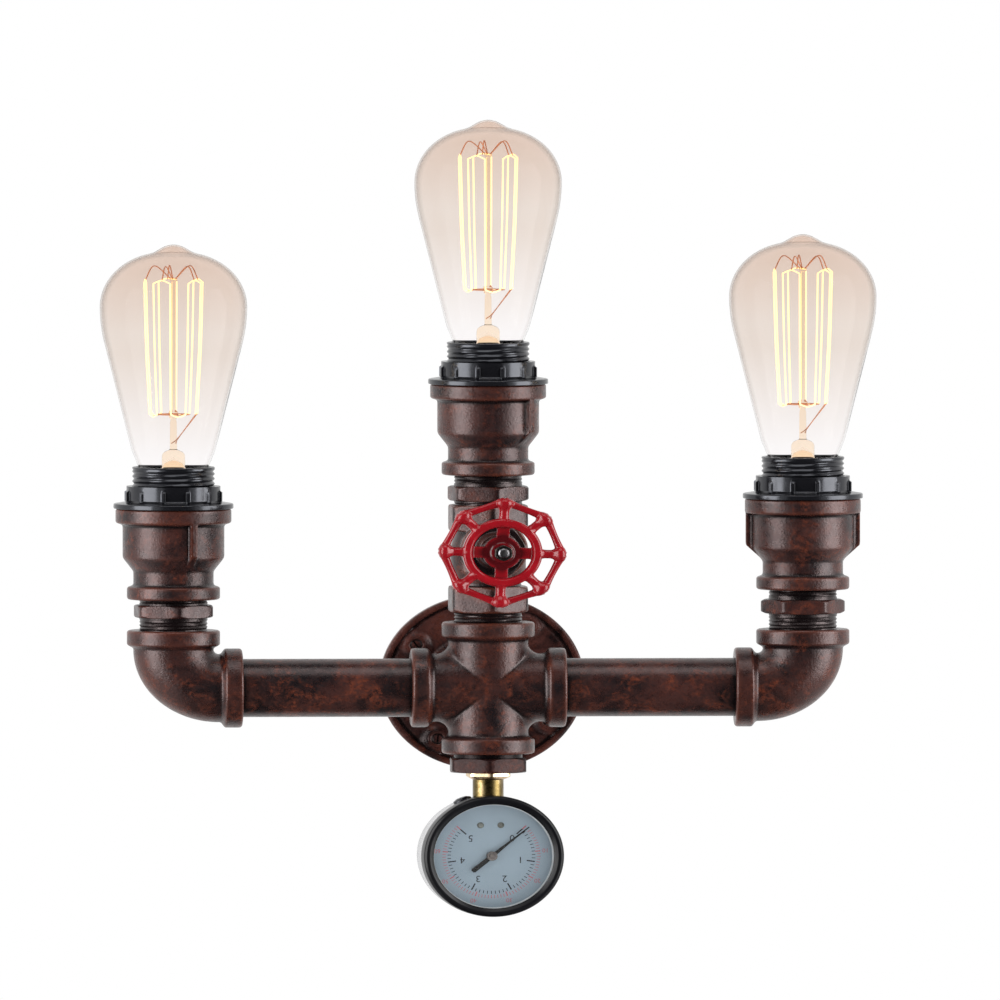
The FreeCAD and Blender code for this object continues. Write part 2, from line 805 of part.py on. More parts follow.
def gauge_pointer():
    """Pointer: tapered blade, broad tail and hub pressed on the arbor."""
    half = [
        (pointer_reach, 0.15), (0, 0.9), (2 - pointer_tail, 1.1), (-pointer_tail, 0.7),
    ]
    outline = half + [(x, -y) for x, y in reversed(half)]
    points = [V(x, y, pointer_level) for x, y in outline]
    blade = Part.Face(Part.makePolygon(points + points[:1])).extrude(V(0, 0, pointer_thickness))
    hub = lathe([
        (0, pointer_level - 0.7), (pointer_hub_r, pointer_level - 0.7),
        (pointer_hub_r, pointer_level + 1.1), (pointer_hub_r - 0.6, pointer_level + 1.6),
        (0, pointer_level + 1.6),
    ])
    pointer = blade.fuse(hub).cut(rod(arbor_r, pointer_level - 1, arbor_front))
    return gauge_place(turned(pointer, V(0, 0, 1), pointer_rest))


def pointer_arbor():
    """Arbor that carries the pointer, with its pinion between the plates."""
    arbor = rod(arbor_r, plate_levels[0] - 0.9, arbor_front)
    return gauge_place(arbor.fuse(rod(pinion_r, -1.4, 1.4)))


def movement_plates():
    """Two plates on the socket block, with the pillars that join them and carry the dial."""
    outline = [(-11, -9), (11, -9), (11, 6), (6, 11), (6, 21), (-6, 21), (-6, 11), (-11, 6)]
    pieces = []
    for low in plate_levels:
        points = [V(x, y, low) for x, y in outline]
        plate = Part.Face(Part.makePolygon(points + points[:1])).extrude(V(0, 0, plate_thickness))
        hole = rod(arbor_r + arbor_clear, low - 1, low + plate_thickness + 1)
        pieces.append(plate.cut(hole))
    for x, y in ((-9, -7), (9, -7), (-9, 4), (9, 4)):
        pieces.append(moved(rod(1.2, plate_levels[0] + 0.5, dial_level), x, y, 0))
    return gauge_place(joined(pieces))


def bourdon_tube():
    """Flattened spring tube curved from the socket block round to its free end."""
    section = Part.Face(Part.makePolygon([
        V(0, 20.6, -2.8), V(0, 23.4, -2.8), V(0, 24.0, 0), V(0, 23.4, 2.8), V(0, 20.6, 2.8),
        V(0, 20.0, 0), V(0, 20.6, -2.8),
    ]))
    section = turned(section, V(0, 0, 1), -tube_start)
    return gauge_place(section.revolve(V(0, 0, 0), V(0, 0, 1), -tube_sweep))


def export(shape, node):
    """Writes one node."""
    shape.exportStep("parts/" + node + ".step")


def lamp(name, x, hex_levels, hex_turn, low, seat, rib_angle):
    """One lamp: nipple, reducer, holder, ring, contacts and bulb."""
    nipple = hex_nipple(hex_levels, hex_turn, low, seat + grip)
    export(moved(nipple, x, -stand_off, 0), name + "_hex_nipple")
    export(moved(reducer(rib_angle), x, -stand_off, seat), name + "_reducer")
    top = seat + reducer_height
    at_top = {
        "lampholder": lampholder(), "shade_ring": shade_ring(),
        "screw_shell": screw_shell(), "centre_contact": centre_contact(),
    }
    for piece, shape in at_top.items():
        export(moved(shape, x, -stand_off, top), name + "_" + piece)
    rim = top + holder_rise
    at_rim = {
        "bulb_glass": bulb_glass(), "bulb_cap": bulb_cap(), "bulb_tip": bulb_tip(),
        "bulb_stem": bulb_stem(), "bulb_filament": bulb_filament(),
    }
    for piece, shape in at_rim.items():
        export(moved(shape, x, -stand_off, rim), name + "_" + piece)


def pipework():
    """Flange, cross, pipes, elbows and the plain nipples."""
    export(wall_flange(), "wall_flange")
    back_end = stand_off - cross_reach + grip + 1
    export(to_front(tube(pipe_r, pipe_bore_r, 8, back_end)), "back_nipple")
    export(moved(cross_fitting(), 0, -stand_off, 0), "cross_fitting")
    near = cross_reach - grip - 1
    far = arm_reach - elbow_reach + grip
    pipe = tube(pipe_r, pipe_bore_r, near, far)
    export(moved(to_arm(pipe, "left"), 0, -stand_off, 0), "left_pipe")
    export(moved(to_arm(pipe, "right"), 0, -stand_off, 0), "right_pipe")
    elbow = elbow_fitting()
    export(moved(elbow, -arm_reach, -stand_off, 0), "left_elbow")
    mirrored = turned(elbow, V(0, 0, 1), 180)
    export(moved(mirrored, arm_reach, -stand_off, 0), "right_elbow")
    nipple = tube(pipe_r, valve_bore_r, near, valve_low + valve_grip)
    export(moved(nipple, 0, -stand_off, 0), "valve_nipple")


def valve():
    """Valve pieces, with the wheel and stem that turn."""
    export(valve_body(), "valve_body")
    export(valve_bonnet(), "valve_bonnet")
    export(gland_packing(), "gland_packing")
    export(gland_nut(), "gland_nut")
    export(valve_stem(), "valve_stem")
    export(handwheel(), "handwheel")
    export(wheel_nut(), "wheel_nut")


def gauge():
    """Pressure gauge hung under the cross, stem up."""
    export(hex_bushing(), "hex_bushing")
    export(gauge_socket(), "gauge_socket")
    export(gauge_case(), "gauge_case")
    export(gauge_bezel(), "gauge_bezel")
    export(gauge_lens(), "gauge_lens")
    export(gauge_dial(), "gauge_dial")
    export(gauge_pointer(), "gauge_pointer")
    export(pointer_arbor(), "pointer_arbor")
    export(movement_plates(), "movement_plates")
    export(bourdon_tube(), "bourdon_tube")


os.makedirs("parts", exist_ok=True)
pipework()
valve()
gauge()
elbow_top = elbow_reach - grip
lamp("left", -arm_reach, left_hex, left_hex_turn, elbow_top, left_seat, left_rib)
lamp("middle", 0, middle_hex, middle_hex_turn, valve_high - valve_grip, middle_seat, middle_rib)
lamp("right", arm_reach, right_hex, right_hex_turn, elbow_top, right_seat, right_rib)
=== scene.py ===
import json
import math

import bpy
import numpy as np
from bpy.props import FloatProperty, FloatVectorProperty, IntProperty, PointerProperty
from mathutils import Matrix, Vector


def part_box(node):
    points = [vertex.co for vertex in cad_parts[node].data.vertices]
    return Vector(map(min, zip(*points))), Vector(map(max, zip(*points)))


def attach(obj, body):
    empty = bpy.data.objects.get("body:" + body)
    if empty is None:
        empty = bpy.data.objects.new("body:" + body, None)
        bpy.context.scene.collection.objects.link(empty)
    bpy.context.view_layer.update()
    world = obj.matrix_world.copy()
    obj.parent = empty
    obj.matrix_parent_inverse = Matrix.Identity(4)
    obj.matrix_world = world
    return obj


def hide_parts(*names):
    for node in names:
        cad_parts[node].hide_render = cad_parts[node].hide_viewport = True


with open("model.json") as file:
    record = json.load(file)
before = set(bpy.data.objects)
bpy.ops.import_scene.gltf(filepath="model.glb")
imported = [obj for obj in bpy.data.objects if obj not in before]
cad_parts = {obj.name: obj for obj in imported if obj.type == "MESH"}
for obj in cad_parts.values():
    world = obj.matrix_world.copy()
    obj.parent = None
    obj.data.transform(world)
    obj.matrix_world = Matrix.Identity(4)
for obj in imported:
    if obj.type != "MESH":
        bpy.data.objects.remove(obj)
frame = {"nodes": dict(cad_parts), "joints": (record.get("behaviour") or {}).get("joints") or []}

bl_info = {
    "name": "Pipe wall light",
    "version": (1, 0, 0),
    "blender": (4, 5, 0),
    "location": "View3D > Sidebar > Pipe light",
    "description": "Dresses the pipe wall light in cast, painted, glass and brass surfaces",
    "category": "Object",
}

# Outlines below are in millimetres and are turned into metres when a piece is made
MM = 0.001
TURN = 2 * math.pi
LAMPS = ("left", "middle", "right")


def extent(node):
    """Lowest and highest corner of a CAD node, in millimetres."""
    low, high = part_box(node)
    return np.array(low) / MM, np.array(high) / MM


def levels(node):
    """Lowest and highest level of a CAD node, in millimetres."""
    low, high = extent(node)
    return low[2], high[2]


# Places read from the frame
PIPE_LOW, PIPE_HIGH = extent("left_pipe")
AXIS_Y = (PIPE_LOW[1] + PIPE_HIGH[1]) / 2
AXIS = (0, AXIS_Y, 0)
PIPE_R = (PIPE_HIGH[2] - PIPE_LOW[2]) / 2
CROSS_REACH = extent("cross_fitting")[1][0]
ARM_REACH = (extent("right_reducer")[0][0] + extent("right_reducer")[1][0]) / 2
FLANGE_R = extent("wall_flange")[1][0]
REDUCER_SEAT = {name: levels(name + "_reducer")[0] for name in LAMPS}
REDUCER_TOP = {name: levels(name + "_reducer")[1] for name in LAMPS}
HOLDER_RIM = {name: levels(name + "_lampholder")[1] for name in LAMPS}
LAMP_X = {"left": -ARM_REACH, "middle": 0.0, "right": ARM_REACH}
HINGES = {joint["name"]: joint for joint in frame["joints"]}
WHEEL_Z = HINGES["handwheel_turn"]["pos_m"][2] / MM
VALVE_YAW = math.asin(HINGES["handwheel_turn"]["axis"][0])
GAUGE_Z = HINGES["pointer_turn"]["pos_m"][2] / MM
GAUGE_YAW = math.asin(-HINGES["pointer_turn"]["axis"][0])

# Sizes of the fittings that the frame's boxes don't give
BORE_R = 12.5
SOCKET_R = 15.05
BODY_R = 17.6
BAND_R = 20.4
BAND_WIDTH = 8.4
GRIP = 12.0
CROSS_BEND_R = 23.6
CROSS_WEB_R = 17.3
CROSS_WEB_DEPTH = 13.5
ELBOW_BEND_R = 20.0
ELBOW_RUN = 10.0
NIPPLE_FLATS = 33.0
VALVE_FLATS = 33.7
BELL_R = 22.3
SCREW_CIRCLE_R = 35.0
SCREW_TURN = 56.0
SCREW_HOLE_R = 2.75
PIPE_PITCH = 1.81
PIPE_THREAD_DEPTH = 0.55
STEM_HOLE_R = 2.65
HUB_FOOT = 49.0
HUB_FRONT = 52.8
DIAL_FACE = 7.4
DIAL_SWEEP = 270
ZERO_AT = 45
NUMERAL_DEPTH = 0.03

# Turns of the parts as photographed, in degrees, and levels of the hex collars
WHEEL_TURN = -2.3
POINTER_REST = 42.0
HEX_LEVELS = {"left": (36.6, 43.0), "middle": (96.6, 104.1), "right": (38.1, 45.3)}
HEX_TURNS = {"left": 6.0, "middle": 11.0, "right": 30.0}
RIB_ANGLES = {"left": 19.0, "middle": 48.0, "right": 90.0}

# Bulb, above its lampholder: the dome's and the side's arcs, and the cage's (radius, height)
DOME = (4.05, 82.4)
DOME_R = 28.3
SIDE_R = 88.0
GLASS_TOP = 114.6
STRANDS = 10
CAGE_LOW = (10.7, 27.3)
CAGE_HIGH = (13.1, 95.0)
CROWN = (8.4, 103.6)
ROD_TOP = 97.0
BEAD_Z = 27.0
RING_R = 7.2

# Angles between faces, in degrees, above which an edge is shaded sharp
CREASE = 35
SOFT_CREASE = 60

# The photograph shows the light squashed: round parts are this much as tall as they are wide
SQUASH = 0.85
VIEW_WIDTH = 0.438
VIEW_CENTRE = (0.0052, 0.0966)
VIEW_AZIMUTH = -2.9
VIEW_ELEVATION = 3.0
VIEW_DISTANCE = 1.6

# Studio, in metres: each softbox's name, place, size and power in watts, the arch and the floor
SOFTBOXES = (
    ("left_box", (-1.30, -0.62, 0.25), (0.9, 1.7), 38),
    ("right_box", (1.32, -0.55, 0.25), (0.9, 1.7), 38),
    ("top_box", (0.0, -0.5, 1.5), (1.2, 0.8), 9),
)
AIM_Z = 0.08
ARCH_SPAN = (-112.0, 112.0)
ARCH_EDGES = (-1.05, 1.25)
ARCH_REACH = 1.8
FLOOR_Z = -0.40
FLOOR_R = 1.6
FLOOR_SIDES = 96
WORLD_LIGHT = 0.72
WORLD_SEEN = 1.0

TARNISH = (0.05, 0.035, 0.02)
# Dark red of the painted shade in the handwheel's hollows.
WHEEL_SHADE = (0.028, 0.002, 0.003)
STRAND_BODY = (0.9, 0.6, 0.25, 1.0)


def size_setting(name, description, default, low, high):
    """Length that a user may change, in metres."""
    return FloatProperty(
        name=name, description=description, default=default, min=low, max=high, unit="LENGTH")


def colour_setting(name, description, *default):
    """Colour that a user may change."""
    return FloatVectorProperty(
        name=name, description=description, default=default, size=3, subtype="COLOR")


class PipeLightSizes(bpy.types.PropertyGroup):
    """Sizes of the finish that a user may change."""
    cast_voxel: size_setting(
        "Casting grain", "Size of the grid that castings are blended on", 0.00055, 0.0002, 0.002)
    cast_rounds: IntProperty(
        name="Casting softness", description="Rounds of smoothing on a casting",
        default=5, min=0, max=30)
    thread_depth: size_setting(
        "Holder thread", "Depth of the lampholder's thread", 0.0009, 0.0, 0.0015)
    glass_wall: size_setting(
        "Glass wall", "Thickness of the bulbs' glass", 0.0008, 0.0004, 0.002)
    strand_glow: FloatProperty(
        name="Filament glow", description="Strength of the lit filament", default=1.5, min=0.0)
    # The recesses that this reach takes in are darkened with patina and painted shade.
    relief_reach: size_setting(
        "Patina reach", "Width of the recesses that the patina fills", 0.0024, 0.0005, 0.01)


class PipeLightColours(bpy.types.PropertyGroup):
    """Colours of the finish that a user may change."""
    oxblood: colour_setting("Oxblood", "Paint of the castings and pipes", 0.026, 0.0088, 0.0072)
    rust: colour_setting("Rust", "Worn patches of the paint", 0.080, 0.0185, 0.0085)
    # The paint's near-black; at half its level it is patina and painted shade in the hollows.
    patina: colour_setting("Patina", "Dark patina in the recesses", 0.0050, 0.0035, 0.0042)
    wheel_red: colour_setting("Wheel red", "Gloss paint of the handwheel", 0.18, 0.003, 0.0065)
    glass_foot: colour_setting("Glass foot", "Bulb glass near the neck", 0.985, 0.97, 0.968)
    glass_side: colour_setting("Glass side", "Bulb glass in the sides", 0.90, 0.845, 0.805)
    glass_top: colour_setting("Glass top", "Bulb glass over the dome", 0.855, 0.75, 0.685)
    # Painted dark reflection along the bulbs' outline.
    glass_edge_shade: colour_setting("Glass edge", "Bulb glass seen edge on", 0.20, 0.16, 0.13)


class Surface:
    """Points in millimetres with the faces between them, held as whole arrays."""

    def __init__(self, points, quads, triangles=None):
        self.points = points
        self.quads = np.asarray(quads, int).reshape(-1, 4)
        self.triangles = np.empty((0, 3), int) if triangles is None else triangles

    def volume(self):
        """Signed volume: the sum over all triangles of a . (b x c) / 6."""
        split = np.vstack([self.triangles, self.quads[:, :3], self.quads[:, [0, 2, 3]]])
        a, b, c = (self.points[split[:, i]] for i in range(3))
        return np.einsum("ij,ij->i", a, np.cross(b, c)).sum() / 6

    def outward(self):
        """The same surface with its faces turned to point out of the solid."""
        if self.volume() < 0:
            return Surface(self.points, self.quads[:, ::-1], self.triangles[:, ::-1])
        return self

    def placed(self, rotation, offset=(0.0, 0.0, 0.0)):
        """Copy changed by a matrix, which mostly turns it, and then moved."""
        return Surface(self.points @ np.asarray(rotation).T + offset, self.quads, self.triangles)

    def moved(self, offset):
        """Copy moved without a turn."""
        return Surface(self.points + offset, self.quads, self.triangles)


def about(axis, degrees):
    """Rotation matrix about a named axis."""
    return np.array(Matrix.Rotation(math.radians(degrees), 3, axis))


def facing(yaw):
    """Rotation that turns a piece built along Z to face the room, its Y upwards."""
    return about("Z", math.degrees(yaw)) @ about("X", 90)


# Turns that lay a piece built along Z on each arm of the cross
ARMS = {
    "up": np.eye(3), "down": about("Y", 180), "right": about("Y", 90), "left": about("Y", -90),
    "back": about("X", -90),
}


def rounded(corners, steps=5):
    """Outline through corners (r, z, radius), each rounded by an arc of that radius.

    The arc touches both sides at radius / tan(half the angle between them) from the corner,
    or just short of the middle of the shorter side if that is nearer. A corner that is
    nearly straight stays a plain point.
    """
    side_share = 0.49
    straight = 1.55
    points = [np.array(corner[:2], float) for corner in corners]
    pieces = []
    for i, corner in enumerate(corners):
        here = points[i]
        radius = corner[2] if len(corner) > 2 else 0
        if radius == 0:
            pieces.append(here[None])
            continue
        before = points[i - 1] - here
        after = points[(i + 1) % len(points)] - here
        room = side_share * min(np.linalg.norm(before), np.linalg.norm(after))
        before /= np.linalg.norm(before)
        after /= np.linalg.norm(after)
        half = math.acos(np.clip(before @ after, -1, 1)) / 2
        if half > straight:
            pieces.append(here[None])
            continue
        reach = min(radius / math.tan(half), room)
        bisector = (before + after) / np.linalg.norm(before + after)
        centre = here + bisector * reach / math.cos(half)
        start = here + before * reach - centre
        end = here + after * reach - centre
        sweep_angle = math.pi - 2 * half
        t = np.linspace(0, 1, steps + 1)[:, None]
        bow = np.sin((1 - t) * sweep_angle) * start + np.sin(t * sweep_angle) * end
        pieces.append(centre + bow / math.sin(sweep_angle))
    return np.vstack(pieces)


def spread(outline, step, closed=False):
    """Outline with points added evenly along each side that is longer than the step."""
    ends = np.vstack([outline[1:], outline[:1]]) if closed else outline[1:]
    pieces = []
    for start, end in zip(outline, ends):
        count = max(1, math.ceil(np.linalg.norm(end - start) / step))
        t = np.arange(count)[:, None] / count
        pieces.append(start + (end - start) * t)
    if not closed:
        pieces.append(outline[-1:])
    return np.vstack(pieces)


def net(rows, columns, wrap_rows, wrap_columns):
    """Quads between the points of a grid stored row by row."""
    r = np.arange(rows if wrap_rows else rows - 1)[:, None]
    c = np.arange(columns if wrap_columns else columns - 1)[None, :]
    right = (c + 1) % columns
    above = (r + 1) % rows
    corners = [r * columns + c, r * columns + right, above * columns + right, above * columns + c]
    return np.stack(corners, -1).reshape(-1, 4)


def capped(points, ends, rows, columns):
    """Closes both ends of a grid of rings: its points and two poles, and their fans."""
    c = np.arange(columns)
    after = (c + 1) % columns
    low, high, last = len(points), len(points) + 1, (rows - 1) * columns
    foot = np.stack([np.full(columns, low), after, c], -1)
    crown = np.stack([np.full(columns, high), last + c, last + after], -1)
    return np.vstack([points, ends]), np.vstack([foot, crown])


def lathe(outline, columns=96, shape=None, step=None):
    """Turns an outline of (radius, height) about Z.

    Point (i, j) is (r cos a, r sin a, z), with (r, z) from row i of the outline and a from
    column j. shape(r, z, a) may change r and z point by point. An outline with its ends on
    the axis closes there in poles, and any other is a loop.
    """
    outline = np.asarray(outline, float)
    poles = outline[0, 0] < 1e-6
    if step:
        outline = spread(outline, step, closed=not poles)
    rows = outline[1:-1] if poles else outline
    a = np.linspace(0, TURN, columns, endpoint=False)[None, :]
    r = np.repeat(rows[:, :1], columns, 1)
    z = np.repeat(rows[:, 1:2], columns, 1)
    if shape:
        r, z = shape(r, z, a)
    points = np.stack([r * np.cos(a), r * np.sin(a), z], -1).reshape(-1, 3)
    quads = net(len(rows), columns, not poles, True)
    triangles = None
    if poles:
        ends = [[0, 0, outline[0, 1]], [0, 0, outline[-1, 1]]]
        points, triangles = capped(points, ends, len(rows), columns)
    return Surface(points, quads, triangles).outward()


def sweep(path, radii, columns=16, closed=False):
    """Carries a round section along a path, its rings square to the path.

    The ring at path point p has the points p + R (cos a side + sin a top), where side and
    top stand square to the path's direction. The ends close in poles unless the path is a
    loop.
    """
    path = np.asarray(path, float)
    radii = np.broadcast_to(np.asarray(radii, float), (len(path),))
    if closed:
        along = np.roll(path, -1, 0) - np.roll(path, 1, 0)
    else:
        along = np.gradient(path, axis=0)
    along /= np.linalg.norm(along, axis=1, keepdims=True)
    mean = np.abs(along).mean(0)
    helper = np.zeros(3)
    helper[np.argmin(mean)] = 1.0
    side = np.cross(helper, along)
    side /= np.linalg.norm(side, axis=1, keepdims=True)
    top = np.cross(along, side)
    a = np.linspace(0, TURN, columns, endpoint=False)[None, :, None]
    ring = np.cos(a) * side[:, None] + np.sin(a) * top[:, None]
    points = (path[:, None] + radii[:, None, None] * ring).reshape(-1, 3)
    quads = net(len(path), columns, closed, True)
    triangles = None
    if not closed:
        points, triangles = capped(points, path[[0, -1]], len(path), columns)
    return Surface(points, quads, triangles).outward()


def slab(outline, low, high):
    """Extrudes a convex outline of (x, z) along Y, closed by fans at both ends."""
    outline = np.asarray(outline, float)
    count = len(outline)
    near = np.column_stack([outline[:, 0], np.full(count, low), outline[:, 1]])
    far = near + [0, high - low, 0]
    c = np.arange(count)
    after = (c + 1) % count
    quads = np.stack([c, after, count + after, count + c], -1)
    fan = np.arange(1, count - 1)
    front = np.stack([np.zeros_like(fan), fan + 1, fan], -1)
    back = np.stack([np.zeros_like(fan), fan, fan + 1], -1) + count
    return Surface(np.vstack([near, far]), quads, np.vstack([front, back])).outward()


def rod(radius, low, high, columns=64):
    """Plain round bar about Z, used to cut bores."""
    return lathe([(0, low), (radius, low), (radius, high), (0, high)], columns)


def bent(surface, run, radius):
    """Bends a piece built along Z round a quarter turn, from the +X arm to the +Z arm.

    With s the height along the piece and f = (s - run) / radius held between 0 and 90
    degrees, its axis lies at radius (1 - sin f, 1 - cos f), plus the straight runs.
    """
    x, y, s = surface.points.T
    f = np.clip((s - run) / radius, 0, math.pi / 2)
    before = np.maximum(run - s, 0)
    beyond = np.maximum(s - run - radius * math.pi / 2, 0)
    px = radius - (radius + x) * np.sin(f) + before
    pz = radius - (radius + x) * np.cos(f) + beyond
    return Surface(np.stack([px, y, pz], -1), surface.quads, surface.triangles).outward()


def corner_radius(flats):
    """Radius over the corners of a hex of that width over its flats."""
    return flats / math.sqrt(3)


def hexagonal(flats, core, ease, low, high):
    """Shape for a lathe that turns the part outside the core into a hex with cut corners.

    The hex's radius is flats / 2 / cos(angle from the nearest flat), its corners are eased
    by a soft minimum, and a cone cuts the corners at both ends.
    """
    corner = corner_radius(flats)
    power = 40
    slope = 1.7

    def shape(r, z, a):
        off = (a + TURN / 12) % (TURN / 6) - TURN / 12
        hexed = flats / 2 / np.cos(off)
        soft = (hexed ** -power + (corner - ease * 0.35) ** -power) ** (-1 / power)
        end = np.minimum(z - low, high - z)
        cone = flats / 2 + ease * 0.2 + np.maximum(end, 0) * slope
        target = np.minimum(soft, cone)
        share = np.clip((r - core) / (corner - core), 0, 1)
        outer = core + share * (target - core)
        return np.where(r > core, outer, r), z
    return shape


def linked(name, data):
    """New object of some data, in the scene."""
    obj = bpy.data.objects.new(name, data)
    bpy.context.scene.collection.objects.link(obj)
    return obj


def plain_mesh(name, points, faces):
    """New mesh of points in metres and the faces between them."""
    mesh = bpy.data.meshes.new(name)
    mesh.from_pydata(np.asarray(points).tolist(), [], faces)
    mesh.update()
    return mesh


def mesh_object(name, surfaces):
    """Makes one object of several surfaces, in metres."""
    points = []
    faces = []
    count = 0
    for surface in surfaces:
        points.append(surface.points * MM)
        faces += (surface.quads + count).tolist()
        faces += (surface.triangles + count).tolist()
        count += len(surface.points)
    return linked(name, plain_mesh(name, np.vstack(points), faces))


def result_mesh(obj):
    """New mesh of what an object's modifiers or text come to."""
    bpy.context.view_layer.update()
    graph = bpy.context.evaluated_depsgraph_get()
    return bpy.data.meshes.new_from_object(obj.evaluated_get(graph))


def apply_modifiers(obj):
    """Puts the result of an object's modifiers in its mesh."""
    made = result_mesh(obj)
    spent = obj.data
    obj.modifiers.clear()
    obj.data = made
    bpy.data.meshes.remove(spent)


def boolean(obj, surfaces, operation):
    """Adds or cuts surfaces, each by its own boolean."""
    helpers = []
    for i, surface in enumerate(surfaces):
        helper = mesh_object(f"{obj.name}_tool_{i}", [surface])
        modifier = obj.modifiers.new("tool", "BOOLEAN")
        modifier.operation = operation
        modifier.solver = "MANIFOLD"
        modifier.object = helper
        helpers.append(helper)
    apply_modifiers(obj)
    for helper in helpers:
        bpy.data.meshes.remove(helper.data)


def casting(name, surfaces, cuts=(), voxel=None, rounds=None):
    """One casting: closed surfaces blended on a fine grid and smoothed, then bored out."""
    sizes = bpy.context.scene.pipe_light_sizes
    obj = mesh_object(name, surfaces)
    blend = obj.modifiers.new("blend", "REMESH")
    blend.mode = "VOXEL"
    blend.voxel_size = voxel or sizes.cast_voxel
    soften = obj.modifiers.new("soften", "SMOOTH")
    soften.factor = 0.5
    soften.iterations = sizes.cast_rounds if rounds is None else rounds
    apply_modifiers(obj)
    if cuts:
        boolean(obj, cuts, "DIFFERENCE")
    return obj


def vertex_array(mesh, name):
    """One vector of every vertex, as an array of three columns."""
    flat = np.empty(len(mesh.vertices) * 3)
    mesh.vertices.foreach_get(name, flat)
    return flat.reshape(-1, 3)


def mark(obj, name, values):
    """Stores one number for each point of a piece, for its material."""
    attribute = obj.data.attributes.new(name, "FLOAT", "POINT")
    attribute.data.foreach_set("value", np.asarray(values, np.float32))


def relief(obj, share=1.0, extra=None):
    """Stores how hollow a piece is at each point, in millimetres, as "hollow".

    That is the step from the point to where heavy smoothing moves it, along the normal: above
    zero in a recess and below zero on an edge. n rounds on a mesh of pitch p reach about
    p sqrt(n) / 2, and share scales that reach, so a smaller one sees only finer recesses.
    extra(points in millimetres) is added, for patina and painted shade in recesses between two
    pieces.
    """
    mesh = obj.data
    reach = bpy.context.scene.pipe_light_sizes.relief_reach * share
    areas = np.empty(len(mesh.polygons))
    mesh.polygons.foreach_get("area", areas)
    pitch = math.sqrt(areas.sum() / len(mesh.vertices))
    soften = obj.modifiers.new("relief", "SMOOTH")
    soften.factor = 0.5
    soften.iterations = max(2, round(4 * (reach / pitch) ** 2))
    smoothed = result_mesh(obj)
    points = vertex_array(mesh, "co")
    step = (vertex_array(smoothed, "co") - points) / MM
    hollow = np.einsum("ij,ij->i", step, vertex_array(mesh, "normal"))
    obj.modifiers.clear()
    bpy.data.meshes.remove(smoothed)
    if extra:
        hollow += extra(points / MM)
    mark(obj, "hollow", hollow)
    return obj


def close_to(points, axis, places, strength=0.4, reach=1.5):
    """Patina and painted shade beside given places along an axis: strength times e to the
    -(distance / reach).
    """
    away = np.abs(points[:, axis, None] - np.asarray(places, float)).min(1)
    return strength * np.exp(-away / reach)


def store_patina_and_shade(obj, hollow):
    """Stores hollow(points in millimetres) as a piece's "hollow"."""
    # The hollow darkens the paint as patina and painted shade.
    mark(obj, "hollow", hollow(vertex_array(obj.data, "co") / MM))
    return obj


def finish_all(body, rows, crease=CREASE):
    """Shades pieces, gives them material and body, and lets them stand for CAD nodes.

    Each row is a piece, its material, its slot, which is not used, and the CAD nodes that it stands
    for, if any.
    """
    for obj, material, slot, *nodes in rows:
        mesh = obj.data
        mesh.shade_smooth()
        mesh.set_sharp_from_angle(angle=math.radians(crease))
        mesh.materials.clear()
        mesh.materials.append(material)
        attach(obj, body)
        if nodes:
            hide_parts(*nodes)


def keep_nodes(material, *names):
    """Gives CAD nodes that stay in view their material."""
    for name in names:
        mesh = frame["nodes"][name].data
        mesh.materials.clear()
        mesh.materials.append(material)


class Finish:
    """A material's node tree, built one node at a time."""

    def __init__(self, name, **values):
        self.material = bpy.data.materials.new(name)
        self.material.use_nodes = True
        self.nodes = self.material.node_tree.nodes
        self.links = self.material.node_tree.links
        self.shader = self.nodes["Principled BSDF"]
        self.coordinates = self.nodes.new("ShaderNodeTexCoord").outputs["Object"]
        for socket, value in values.items():
            self.shader.inputs[socket.replace("_", " ")].default_value = value

    def put(self, kind, inputs=None, **settings):
        """Adds a node. Its inputs are named or numbered, and are values or other outputs."""
        node = self.nodes.new(kind)
        for key, value in settings.items():
            setattr(node, key, value)
        for key, value in (inputs or {}).items():
            if isinstance(value, bpy.types.NodeSocket):
                self.links.new(value, node.inputs[key])
            else:
                node.inputs[key].default_value = value
        return node

    def noise(self, scale, detail=3.0, roughness=0.5, distortion=0.0, stretch=None):
        """Noise over the piece's own coordinates, with its scale in waves a metre."""
        vector = self.coordinates
        if stretch:
            vector = self.put("ShaderNodeMapping", {0: vector, 3: stretch}).outputs[0]
        return self.put("ShaderNodeTexNoise", {
            "Vector": vector, "Scale": scale, "Detail": detail, "Roughness": roughness,
            "Distortion": distortion,
        }).outputs["Fac"]

    def span(self, value, low, high, out_low=0.0, out_high=1.0):
        """Maps a span of values to another, held at its ends."""
        return self.put("ShaderNodeMapRange", {
            0: value, 1: low, 2: high, 3: out_low, 4: out_high,
        }).outputs[0]

    def maths(self, operation, first, second):
        """One arithmetic step, held between 0 and 1."""
        node = self.put("ShaderNodeMath", {0: first, 1: second}, operation=operation)
        node.use_clamp = True
        return node.outputs[0]

    def mix(self, share, first, second):
        """Blend of two colours."""
        first, second = (
            value if isinstance(value, bpy.types.NodeSocket) else (*value, 1.0)
            for value in (first, second))
        inputs = {0: share, 6: first, 7: second}
        return self.put("ShaderNodeMix", inputs, data_type="RGBA").outputs[2]

    def attribute(self, name):
        """A number that the piece's mesh stores for each point."""
        return self.put("ShaderNodeAttribute", attribute_name=name).outputs["Fac"]

    def bump(self, height, strength, distance):
        """Adds a bump under the shader, with its depth in metres."""
        node = self.put("ShaderNodeBump", {
            "Height": height, "Strength": strength, "Distance": distance,
        })
        self.links.new(node.outputs["Normal"], self.shader.inputs["Normal"])

    def feed(self, socket, value):
        """Joins an output to one of the shader's inputs."""
        self.links.new(value, self.shader.inputs[socket])


